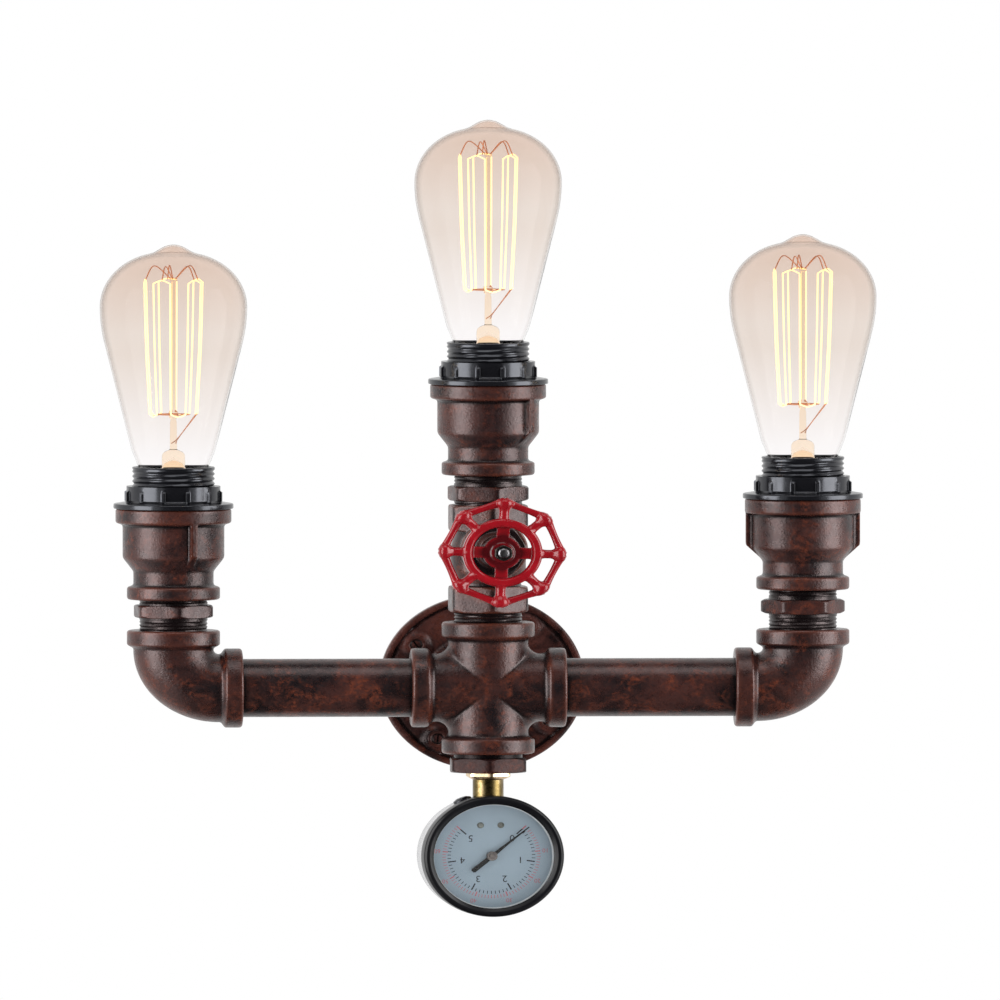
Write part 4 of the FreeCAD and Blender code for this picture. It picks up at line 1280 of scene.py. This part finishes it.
def wheel_casting():
    """Handwheel: knuckled spokes, straight rim bars, inner ring and a dished hub on webs.

    A spoke's radius swells from the neck to the knuckle by half a cosine wave and closes over
    the tip as a superellipse. A bar's radius grows from its waist to both ends by a square.
    """
    spokes = 8
    level = 52.0
    ring_out, ring_in, half_depth = 17.6, 13.3, 3.0
    surfaces = [lathe(rounded([
        (ring_in, level - half_depth, 1.7), (ring_out, level - half_depth, 1.7),
        (ring_out, level + half_depth, 1.7), (ring_in, level + half_depth, 1.7)]), 128)]
    surfaces.append(lathe(rounded([
        (0, HUB_FOOT), (8.6, HUB_FOOT, 0.8), (8.6, HUB_FRONT - 0.9, 0.9),
        (5.6, HUB_FRONT - 0.8, 0.6), (4.8, HUB_FRONT, 0.3), (0, HUB_FRONT)]), 64))
    neck, shoulder, tip = 21.2, 25.4, 28.2
    slim, knuckle = 2.25, 4.25
    reach = np.concatenate([np.linspace(ring_out - 1.2, neck, 8), np.linspace(
        neck + 0.3, shoulder, 16), shoulder + (tip - shoulder) * np.linspace(0.1, 0.985, 10)])
    swell = 0.5 - 0.5 * np.cos(math.pi * np.clip((reach - neck) / (shoulder - neck), 0, 1))
    radius = slim + (knuckle - slim) * swell + 1.2 * np.clip((19 - reach) / 2.6, 0, 1) ** 2
    past = np.clip((reach - shoulder) / (tip - shoulder), 0, 1)
    radius *= (1 - past ** 2.4) ** (1 / 2.4)
    bar_reach, waist, flare = 26.4, 1.65, 0.75
    u = np.linspace(0, 1, 24)[:, None]
    bar_r = waist + flare * np.abs(2 * u[:, 0] - 1) ** 2
    for i in range(spokes):
        out, after = (np.array([math.cos(a), math.sin(a), 0]) for a in (
            TURN * i / spokes, TURN * (i + 1) / spokes))
        surfaces.append(sweep(out * reach[:, None] + [0, 0, level], radius, 20))
        start, end = out * bar_reach, after * bar_reach
        surfaces.append(sweep(start + (end - start) * u + [0, 0, level], bar_r, 16))
    web = slab([(7.0, 49.2), (7.0, 51.6), (14.2, 52.9), (14.2, 50.2)], -2.9, 2.9)
    surfaces += [web.placed(about("Z", 90 * i)) for i in range(4)]
    turn = about("Z", WHEEL_TURN)
    cut = on_stem(rod(STEM_HOLE_R, 47, 58, 40))
    wheel = casting("wheel_casting", [on_stem(surface.placed(turn)) for surface in surfaces],
                    [cut], voxel=0.0003, rounds=6)

    def hub_shade(points):
        """Painted shade round the hub, thinner outwards along the webs."""
        own = (points - (0, AXIS_Y, WHEEL_Z)) @ facing(VALVE_YAW)
        radius = np.hypot(own[:, 0], own[:, 1])
        return np.interp(radius, [5.0, 8.6, 9.2, 12.5], [0.60, 0.54, 0.40, 0.0])
    return relief(wheel, 0.6, hub_shade)


def on_gauge(surface):
    """Places a piece built along Z on the gauge's axis."""
    return surface.placed(facing(GAUGE_YAW), (0, AXIS_Y, GAUGE_Z))


def gauge_turning(name, columns, corners):
    """Piece lathed about the gauge's axis from rounded corners (radius, height, rounding)."""
    return mesh_object(name, [on_gauge(lathe(rounded(corners), columns))])


def bushing_casting():
    """Hex bushing that takes the gauge's thread."""
    bore = 6.55
    corner = corner_radius(NIPPLE_FLATS)
    low, high = levels("hex_bushing")
    top = low + 7.4
    outline = rounded([
        (bore, low, 0.4), (corner, low, 0.4), (corner, top, 0.4), (PIPE_R, top, 0.4),
        (PIPE_R, high, 0.5), (bore, high, 0.4),
    ])
    surface = lathe(outline, 144, hexagonal(NIPPLE_FLATS, PIPE_R, 1.4, low, top), 0.4)
    return store_patina_and_shade(mesh_object("bushing_hex", [surface.moved(AXIS)]), hex_patina_and_shade(0))


def gauge_socket():
    """Brass socket: thread, hex and shank down into the case, and the block inside."""
    flats = 18.4
    corner = corner_radius(flats)
    outline = rounded([
        (0, -59.3), (6.8, -59.3), (6.8, -47.4, 0.2), (8.9, -46.7, 0.3), (corner, -45.7, 0.3),
        (corner, -43.6, 0.2), (6.5, -43.6), (6.5, -32.0), (5.7, -31.0), (0, -31.0),
    ])
    surface = lathe(outline, 120, hexagonal(flats, 7.0, 0.8, -48.4, -43.4), 0.35)
    block = slab([(-6, -72.5), (6, -72.5), (6, -57.7), (-6, -57.7)], -3.2, 3.4)
    turn = about("Z", math.degrees(GAUGE_YAW))
    obj = mesh_object("socket_turned", [surface.placed(turn, AXIS), block.placed(turn, AXIS)])
    height = vertex_array(obj.data, "co")[:, 2] / MM
    mark(obj, "aged", np.interp(height, [-47.6, -46.6], [0.85, 0.0]))
    return obj


def gauge_case():
    """Drawn case: a shallow can with a rounded back edge and a hole for the shank."""
    obj = gauge_turning("case_drawn", 160, [
        (0, -11), (30.2, -11, 2.6), (30.2, 12), (29, 12), (29, -9.8, 1.6), (0, -9.8),
    ])
    hole = rod(6.85, 25, 34).placed(about("X", -90))
    boolean(obj, [on_gauge(hole)], "DIFFERENCE")
    return obj


def gauge_bezel():
    """Bezel: a rolled ring that runs in to the window."""
    return gauge_turning("bezel_rolled", 160, [
        (30.25, 7, 0.2), (31.2, 7, 0.5), (31.2, 14.9, 1.4), (29.9, 16, 1.0), (28.6, 15.8, 0.8),
        (26.8, 14.5, 0.3), (26.8, 14), (30.25, 14),
    ])


def vent_plug():
    """Rubber vent plug in the case's wall, a shallow dome left of the shank."""
    from_shank = 22
    dome = lathe(rounded([
        (0, 29.6), (4.2, 29.6), (4.2, 31.2, 0.7), (2.2, 32.1, 0.5), (0, 32.1)]), 48)
    upright = dome.placed(about("X", -90))
    return mesh_object("vent_plug_dome", [on_gauge(upright.placed(about("Z", from_shank)))])


def gauge_window():
    """Flat glass window."""
    return gauge_turning("window_disc", 128, [
        (0, 12.0), (30.1, 12.0, 0.3), (30.1, 14.0, 0.3), (0, 14.0)])


def dial_plate():
    """Enamelled dial plate with its centre hole."""
    return gauge_turning("dial_plate", 160, [
        (1.5, 6.6), (28.6, 6.6, 0.2), (28.6, DIAL_FACE, 0.2), (1.5, DIAL_FACE)])


def window_edge_highlight():
    """Pale ring just inside the bezel's lip, under the window: a painted highlight along the
    window's edge.
    """
    return gauge_turning("window_edge_highlight", 128, [
        (26.3, 11.2, 0.2), (28.4, 11.2), (28.4, 11.95), (26.3, 11.95, 0.2)])


def dial_screws():
    """Two small domed screws that hold the dial."""
    head = lathe(rounded([(0, 7.0), (1.5, 7.0), (1.5, 7.7, 0.2), (0.9, 8.1, 0.4), (0, 8.15)]), 32)
    return mesh_object("dial_screws", [on_gauge(head.moved(at)) for at in (
        (-4.8, 15.6, 0), (4.1, 15.6, 0))])


def dial_tick(radius, length, width, degrees):
    """One raised tick of a scale, as a thin slab on the dial."""
    inner, rise = radius - length, 0.06
    tick = slab([(inner, 0), (radius, 0), (radius, rise), (inner, rise)], -width / 2, width / 2)
    return tick.placed(about("Z", degrees), (0, 0, DIAL_FACE))


def dial_scale(name, radius, divisions, lengths, widths):
    """Ring of ticks from zero on, each tenth one of the first length and width."""
    ticks = []
    for i in range(divisions + 1):
        minor = 0 if i % 10 == 0 else 1
        degrees = ZERO_AT - DIAL_SWEEP * i / divisions
        ticks.append(on_gauge(dial_tick(radius, lengths[minor], widths[minor], degrees)))
    return mesh_object(name, ticks)


def numeral(text, size, radius, degrees):
    """Plain numeral made a mesh, upside down on the dial as the gauge hangs."""
    curve_data = bpy.data.curves.new("numeral", "FONT")
    curve_data.body = text
    curve_data.size = size
    curve_data.extrude = NUMERAL_DEPTH
    curve_data.align_x = "CENTER"
    curve_data.align_y = "CENTER"
    temporary = linked("numeral", curve_data)
    mesh = result_mesh(temporary)
    a = math.radians(degrees)
    points = vertex_array(mesh, "co") @ about("Z", 180).T
    points += [radius * math.cos(a), radius * math.sin(a), DIAL_FACE + NUMERAL_DEPTH]
    faces = [tuple(polygon.vertices) for polygon in mesh.polygons]
    bpy.data.objects.remove(temporary)
    bpy.data.meshes.remove(mesh)
    return points, faces


def numerals(name, texts, size, radius, degrees):
    """One mesh of the numerals of a scale, its texts and their angles from zero on."""
    points = []
    faces = []
    count = 0
    for text, angle in zip(texts, degrees):
        own, own_faces = numeral(text, size, radius, angle)
        points.append(own)
        faces += [tuple(v + count for v in face) for face in own_faces]
        count += len(own)
    placed = on_gauge(Surface(np.vstack(points), [])).points
    obj = linked(name, plain_mesh(name, placed * MM, faces))
    weld = obj.modifiers.new("weld", "WELD")
    weld.merge_threshold = 1e-6
    apply_modifiers(obj)
    return obj


def pointer_piece():
    """Pointer blade, tapered, with a broad rounded tail."""
    half = np.array([(22.0, 0.22), (4, 0.48), (0, 0.6), (-3.4, 1.1), (-11.0, 1.15), (-11.7, 0.7)])
    outline = np.vstack([half, half[::-1] * [1, -1]])
    blade = slab(outline, -9.5, -9.0).placed(about("X", -90))
    return mesh_object("pointer_blade", [on_gauge(blade.placed(about("Z", POINTER_REST)))])


def pointer_hub():
    """Turned hub of the pointer with its small cap."""
    return gauge_turning("pointer_hub_turned", 48, [
        (0, 8.3), (2.4, 8.3, 0.2), (2.4, 9.9, 0.4), (1.5, 10.1, 0.2), (1.2, 10.6, 0.3), (0, 10.6)])


class PIPELIGHT_OT_stage(bpy.types.Operator):
    """Sets the camera, the floor, the lamps and the world."""
    bl_idname = "pipe_light.stage"
    bl_label = "Stage"

    def execute(self, context):
        camera_rig(context.scene)
        studio(context.scene)
        return {"FINISHED"}


def camera_rig(scene):
    """Camera at the photograph's angle, its picture squashed as the photograph is.

    The camera is orthographic and hangs on a rig whose parent inverse leans the camera's
    own X axis back by the angle whose cosine is the squash. A pixel then spans the squash
    times as much of the light across as it does upwards, so that round parts are seen the
    squash times as tall as they are wide.
    """
    camera = linked("camera", bpy.data.cameras.new("camera"))
    rig = linked("camera_rig", None)
    camera.data.type = "ORTHO"
    camera.data.ortho_scale = VIEW_WIDTH / SQUASH
    camera.data.clip_start = 0.05
    camera.data.clip_end = 100.0
    a, e = math.radians(VIEW_AZIMUTH), math.radians(VIEW_ELEVATION)
    back = np.array([math.sin(a) * math.cos(e), -math.cos(a) * math.cos(e), math.sin(e)])
    across = np.array([math.cos(a), math.sin(a), 0])
    upward = np.cross(back, across)
    target = np.array([0, AXIS_Y * MM, 0])
    target = target + across * VIEW_CENTRE[0] + upward * VIEW_CENTRE[1]
    own = np.eye(4)
    own[:3, 0], own[:3, 1], own[:3, 2] = across, upward, back
    own[:3, 3] = target + back * VIEW_DISTANCE
    own = Matrix(own.tolist())
    camera.matrix_basis = own
    lean = Matrix.Identity(4)
    lean[0][0] = SQUASH
    lean[2][0] = -math.sqrt(1 - SQUASH ** 2)
    camera.parent = rig
    camera.matrix_parent_inverse = own @ lean @ own.inverted()
    scene.camera = camera


def dark_arch():
    """Dark strip in front of, over and under the light that only reflections see.

    It is carried round a circle about the light, from ARCH_SPAN[0] degrees below the view
    to ARCH_SPAN[1] above it.
    """
    a = np.radians(np.linspace(*ARCH_SPAN, 25))
    y, z = AXIS_Y * MM - ARCH_REACH * np.cos(a), AIM_Z + ARCH_REACH * np.sin(a)
    edges = [np.column_stack([np.full_like(a, x), y, z]) for x in ARCH_EDGES]
    strip = net(2, len(a), False, False).tolist()
    arch = linked("dark_arch", plain_mesh("dark_arch", np.vstack(edges), strip))
    finish = Finish("dark_arch", Base_Color=(0.02, 0.02, 0.02, 1), Roughness=1.0,
                    Specular_IOR_Level=0.0)
    arch.data.materials.append(finish.material)
    arch.visible_camera = False
    arch.visible_diffuse = False
    arch.visible_shadow = False
    arch.visible_transmission = False


def softbox(name, place, size, power):
    """Soft rectangular lamp aimed at the light, seen neither by the camera nor in glass."""
    data = bpy.data.lights.new(name, "AREA")
    data.shape = "RECTANGLE"
    data.size, data.size_y = size
    data.energy = power
    lamp = linked(name, data)
    lamp.location = place
    ahead = np.array([0, AXIS_Y * MM, AIM_Z]) - np.array(place, float)
    lamp.rotation_mode = "QUATERNION"
    lamp.rotation_quaternion = Vector(ahead.tolist()).to_track_quat("-Z", "Y")
    lamp.visible_camera = False
    lamp.visible_transmission = False


def studio(scene):
    """Floor, arch, soft lamps and a world that is whiter where it is seen than as a light."""
    scene.view_settings.view_transform = "Standard"
    world = bpy.data.worlds.new("world")
    scene.world = world
    world.use_nodes = True
    nodes, links = world.node_tree.nodes, world.node_tree.links
    background = nodes["Background"]
    path = nodes.new("ShaderNodeLightPath")
    seen = path.outputs["Is Camera Ray"]
    for kind in ("Is Glossy Ray", "Is Transmission Ray"):
        either = nodes.new("ShaderNodeMath")
        either.operation = "MAXIMUM"
        links.new(seen, either.inputs[0])
        links.new(path.outputs[kind], either.inputs[1])
        seen = either.outputs[0]
    level = nodes.new("ShaderNodeMapRange")
    level.inputs["To Min"].default_value = WORLD_LIGHT
    level.inputs["To Max"].default_value = WORLD_SEEN
    links.new(seen, level.inputs["Value"])
    links.new(level.outputs[0], background.inputs["Strength"])
    background.inputs["Color"].default_value = (1, 1, 1, 1)
    floor_disc()
    dark_arch()
    for box in SOFTBOXES:
        softbox(*box)


def floor_disc():
    """Round floor under the light. Towards its edge it turns to plain white."""
    paper_to, white_from = 0.7, 1.5
    a = np.linspace(0, TURN, FLOOR_SIDES, endpoint=False)
    points = np.column_stack([FLOOR_R * np.cos(a), FLOOR_R * np.sin(a), np.full_like(a, FLOOR_Z)])
    floor = linked("floor", plain_mesh("floor", points, [tuple(range(FLOOR_SIDES))]))
    finish = Finish("floor_paper", Base_Color=(0.86, 0.86, 0.86, 1), Roughness=0.9,
                    Specular_IOR_Level=0.1)
    length = finish.put("ShaderNodeVectorMath", {0: finish.coordinates}, operation="LENGTH")
    edge = finish.span(length.outputs["Value"], paper_to, white_from)
    white = finish.put("ShaderNodeEmission", {0: (1, 1, 1, 1), 1: 1.0})
    mixed = finish.put("ShaderNodeMixShader", {
        0: edge, 1: finish.shader.outputs[0], 2: white.outputs[0]})
    finish.links.new(mixed.outputs[0], finish.nodes["Material Output"].inputs["Surface"])
    floor.data.materials.append(finish.material)
    floor.visible_glossy = False


class PIPELIGHT_OT_castings(bpy.types.Operator):
    """Makes the flange, the cross and the elbows."""
    bl_idname = "pipe_light.castings"
    bl_label = "Flange, cross and elbows"

    def execute(self, context):
        paint = oxblood_paint("oxblood_castings")
        # Painted light: the flange and its screws take a copy of the castings' paint three times as
        # light, against the shade of the cross and pipes.
        lit_flange_paint = oxblood_paint("oxblood_flange", worn=0.7, lift=3.0, sheen=0.25)
        finish_all("root", [
            (wall_screws(), lit_flange_paint, "painted_casting"),
            (flange_casting(), lit_flange_paint, "painted_casting", "wall_flange"),
            (cross_casting(), paint, "painted_casting", "cross_fitting"),
            (elbow_casting("left", 0), paint, "painted_casting", "left_elbow"),
            (elbow_casting("right", 180), paint, "painted_casting", "right_elbow"),
        ])
        return {"FINISHED"}


class PIPELIGHT_OT_pipes(bpy.types.Operator):
    """Makes the side pipes and the plain nipples."""
    bl_idname = "pipe_light.pipes"
    bl_label = "Pipes"

    def execute(self, context):
        paint = oxblood_paint("oxblood_pipes", worn=1.2, grain=0.5, lift=1.2)
        near = CROSS_REACH - GRIP - 1
        far = extent("right_pipe")[1][0]
        top = levels("valve_nipple")[1]
        mouths = (CROSS_REACH, ARM_REACH - ELBOW_RUN - ELBOW_BEND_R)
        upper_mouths = (CROSS_REACH, levels("valve_body")[0])
        made = {
            side + "_pipe": pipe_piece(
                side + "_pipe_tube", near, far, BORE_R, ARMS[side], mouths=mouths)
            for side in ("left", "right")}
        made["valve_nipple"] = pipe_piece(
            "valve_nipple_tube", near, top, 11.0, ARMS["up"], [(30, 42)], upper_mouths)
        made["back_nipple"] = back_nipple()
        finish_all("root", [(obj, paint, "painted_pipe", node) for node, obj in made.items()])
        return {"FINISHED"}


class PIPELIGHT_OT_lamp_fittings(bpy.types.Operator):
    """Makes the hex nipples and bell reducers under the lamps."""
    bl_idname = "pipe_light.lamp_fittings"
    bl_label = "Nipples and reducers"

    def execute(self, context):
        paint = oxblood_paint("oxblood_reducers", lift=1.15)
        for lamp in LAMPS:
            finish_all("root", [
                (hex_nipple(lamp), paint, "painted_casting", lamp + "_hex_nipple"),
                (reducer_casting(lamp), paint, "painted_casting", lamp + "_reducer"),
            ])
        return {"FINISHED"}


class PIPELIGHT_OT_holders(bpy.types.Operator):
    """Makes the threaded lampholders and their shade rings."""
    bl_idname = "pipe_light.holders"
    bl_label = "Lampholders"

    def execute(self, context):
        black = black_moulding("black_moulding")
        brass = metal("contact_brass", (0.75, 0.55, 0.25), 0.3)
        for lamp in LAMPS:
            finish_all("root", [
                (lampholder(lamp), black, "holder_black", lamp + "_lampholder"),
                (shade_ring(lamp), black, "holder_black", lamp + "_shade_ring"),
            ])
            keep_nodes(brass, lamp + "_screw_shell", lamp + "_centre_contact")
        return {"FINISHED"}


class PIPELIGHT_OT_bulbs(bpy.types.Operator):
    """Makes the bulbs: glass, stem, lit strands and hooks. Their caps keep the CAD shape."""
    bl_idname = "pipe_light.bulbs"
    bl_label = "Bulbs"

    def execute(self, context):
        amber = blown_glass("amber_glass")
        clear = clear_glass("stem_glass", (1.0, 0.86, 0.70), 1.12)
        glow = lit_strand(
            "lit_strand", (1.0, 0.80, 0.40), context.scene.pipe_light_sizes.strand_glow)
        wire = gloss_paint("support_wire", (0.72, 0.30, 0.16), 0.35)
        cap = metal("cap_metal", (0.80, 0.66, 0.40), 0.3)
        for lamp in LAMPS:
            finish_all(lamp + "_bulb", [
                (bulb_glass(lamp), amber, "amber_glass", lamp + "_bulb_glass"),
                (bulb_stem(lamp), clear, "clear_glass", lamp + "_bulb_stem"),
                (filament(lamp), glow, "filament", lamp + "_bulb_filament"),
                (filament_hooks(lamp), wire, "filament"),
            ], SOFT_CREASE)
            keep_nodes(cap, lamp + "_bulb_cap", lamp + "_bulb_tip")
        return {"FINISHED"}


class PIPELIGHT_OT_valve(bpy.types.Operator):
    """Makes the valve's body, bonnet, gland nut, stem and wheel nut."""
    bl_idname = "pipe_light.valve"
    bl_label = "Valve"

    def execute(self, context):
        paint = oxblood_paint("oxblood_valve", lift=1.2)
        dark = oxblood_paint("oxblood_bonnet", worn=0.6)
        steel = metal("stem_steel", (0.17, 0.17, 0.18), 0.32)
        black_steel = metal("nut_steel", (0.10, 0.095, 0.09), 0.3)
        finish_all("root", [
            (valve_casting(), paint, "painted_casting", "valve_body"),
            (bonnet_piece(), dark, "bonnet_iron", "valve_bonnet"),
            (gland_piece(), dark, "bonnet_iron", "gland_nut"),
        ])
        finish_all("wheel_and_stem", [
            (stem_piece(), steel, "stem_steel", "valve_stem"),
            (wheel_nut(), black_steel, "stem_steel", "wheel_nut"),
        ])
        keep_nodes(metal("packing_yarn", (0.3, 0.28, 0.24), 0.9), "gland_packing")
        return {"FINISHED"}


class PIPELIGHT_OT_handwheel(bpy.types.Operator):
    """Makes the red handwheel."""
    bl_idname = "pipe_light.handwheel"
    bl_label = "Handwheel"

    def execute(self, context):
        colour = context.scene.pipe_light_colours.wheel_red
        # The 0.85 is the strength of the painted shade in the wheel's hollows.
        red = gloss_paint("wheel_gloss", colour, 0.17, 0.85, sheen=0.3)
        finish_all("wheel_and_stem", [
            (wheel_casting(), red, "wheel_paint", "handwheel")], SOFT_CREASE)
        return {"FINISHED"}


class PIPELIGHT_OT_gauge(bpy.types.Operator):
    """Makes the pressure gauge and the bushing over it."""
    bl_idname = "pipe_light.gauge"
    bl_label = "Gauge"

    def execute(self, context):
        paint = oxblood_paint("oxblood_bushing", worn=0.6, lift=0.9, sheen=0.12)
        socket_brass = aged_brass("socket_brass", (0.86, 0.66, 0.42), (0.125, 0.09, 0.034))
        brass = metal("gauge_brass", (0.80, 0.62, 0.34), 0.26, worn=0.35)
        bronze = metal("spring_bronze", (0.62, 0.38, 0.2), 0.3)
        steel = metal("case_steel", (0.62, 0.62, 0.63), 0.24, worn=0.15)
        black = gloss_paint("bezel_black", (0.004, 0.004, 0.005), 0.3, waviness=0.06, sheen=0.16)
        rubber = black_moulding("plug_rubber")
        window = clear_glass("window_glass", (1, 1, 1))
        finish_all("root", [
            (bushing_casting(), paint, "painted_casting", "hex_bushing"),
            (gauge_socket(), socket_brass, "gauge_brass", "gauge_socket"),
            (gauge_case(), steel, "gauge_steel", "gauge_case"),
            (gauge_bezel(), black, "gauge_black", "gauge_bezel"),
            (vent_plug(), rubber, "gauge_black"),
            (gauge_window(), window, "gauge_lens", "gauge_lens"),
        ])
        keep_nodes(brass, "movement_plates", "pointer_arbor")
        keep_nodes(bronze, "bourdon_tube")
        return {"FINISHED"}


class PIPELIGHT_OT_dial(bpy.types.Operator):
    """Makes the gauge's dial with its scales, numerals and pointer."""
    bl_idname = "pipe_light.dial"
    bl_label = "Dial"

    def execute(self, context):
        white = dial_enamel("dial_enamel", (0.345, 0.44, 0.515))
        pale = dial_enamel("window_highlight_pale", (0.75, 0.80, 0.82))
        ink = dial_enamel("black_ink", (0.006, 0.006, 0.008))
        red = dial_enamel("red_ink", (0.55, 0.16, 0.18))
        screw_metal = metal("screw_steel", (0.16, 0.17, 0.15), 0.35)
        pointer_paint = gloss_paint("pointer_paint", (0.003, 0.003, 0.003), 0.5, sheen=0.08)
        hub_metal = metal("hub_metal", (0.17, 0.15, 0.14), 0.3)
        inner_angles = [ZERO_AT - DIAL_SWEEP * i / 5 for i in range(6)]
        outer_angles = [ZERO_AT - DIAL_SWEEP * i / 7 for i in range(1, 7)]
        tens = [str(10 * i) for i in range(1, 7)]
        finish_all("root", [
            (dial_plate(), white, "dial_white", "gauge_dial"),
            (dial_scale("outer_scale", 21.6, 70, (2.4, 1.6), (0.55, 0.3)), red, "pointer_black"),
            (dial_scale("inner_scale", 19.3, 50, (3.6, 1.5), (0.6, 0.32)), ink, "pointer_black"),
            (numerals("inner_numerals", "012345", 4.7, 12.9, inner_angles), ink, "pointer_black"),
            (numerals("outer_numerals", tens, 2.9, 23.9, outer_angles), red, "pointer_black"),
            (dial_screws(), screw_metal, "gauge_brass"),
            # The pale ring under the window's edge is a painted highlight.
            (window_edge_highlight(), pale, "dial_white"),
        ])
        finish_all("pointer_and_arbor", [
            (pointer_piece(), pointer_paint, "pointer_black", "gauge_pointer"),
            (pointer_hub(), hub_metal, "stem_steel"),
        ])
        return {"FINISHED"}


class PIPELIGHT_PT_panel(bpy.types.Panel):
    """Lists the operators and the sizes and colours that they read."""
    bl_idname = "PIPELIGHT_PT_panel"
    bl_label = "Pipe light"
    bl_space_type = "VIEW_3D"
    bl_region_type = "UI"
    bl_category = "Pipe light"

    def draw(self, context):
        for group in (context.scene.pipe_light_sizes, context.scene.pipe_light_colours):
            for name in group.__annotations__:
                self.layout.prop(group, name)
        for operator in OPERATORS:
            self.layout.operator(operator.bl_idname)


OPERATORS = (
    PIPELIGHT_OT_stage, PIPELIGHT_OT_castings, PIPELIGHT_OT_pipes, PIPELIGHT_OT_lamp_fittings,
    PIPELIGHT_OT_holders, PIPELIGHT_OT_bulbs, PIPELIGHT_OT_valve, PIPELIGHT_OT_handwheel,
    PIPELIGHT_OT_gauge, PIPELIGHT_OT_dial,
)
CLASSES = (PipeLightSizes, PipeLightColours, *OPERATORS, PIPELIGHT_PT_panel)


def register():
    """Registers the classes and hangs the settings on the scene."""
    for cls in CLASSES:
        bpy.utils.register_class(cls)
    bpy.types.Scene.pipe_light_sizes = PointerProperty(type=PipeLightSizes)
    bpy.types.Scene.pipe_light_colours = PointerProperty(type=PipeLightColours)


def unregister():
    """Takes back what register did."""
    del bpy.types.Scene.pipe_light_colours
    del bpy.types.Scene.pipe_light_sizes
    for cls in reversed(CLASSES):
        bpy.utils.unregister_class(cls)


def main():
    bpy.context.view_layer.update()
    register()
    for operator in OPERATORS:
        package, name = operator.bl_idname.split(".")
        getattr(getattr(bpy.ops, package), name)()


if __name__ == "__main__":
    main()
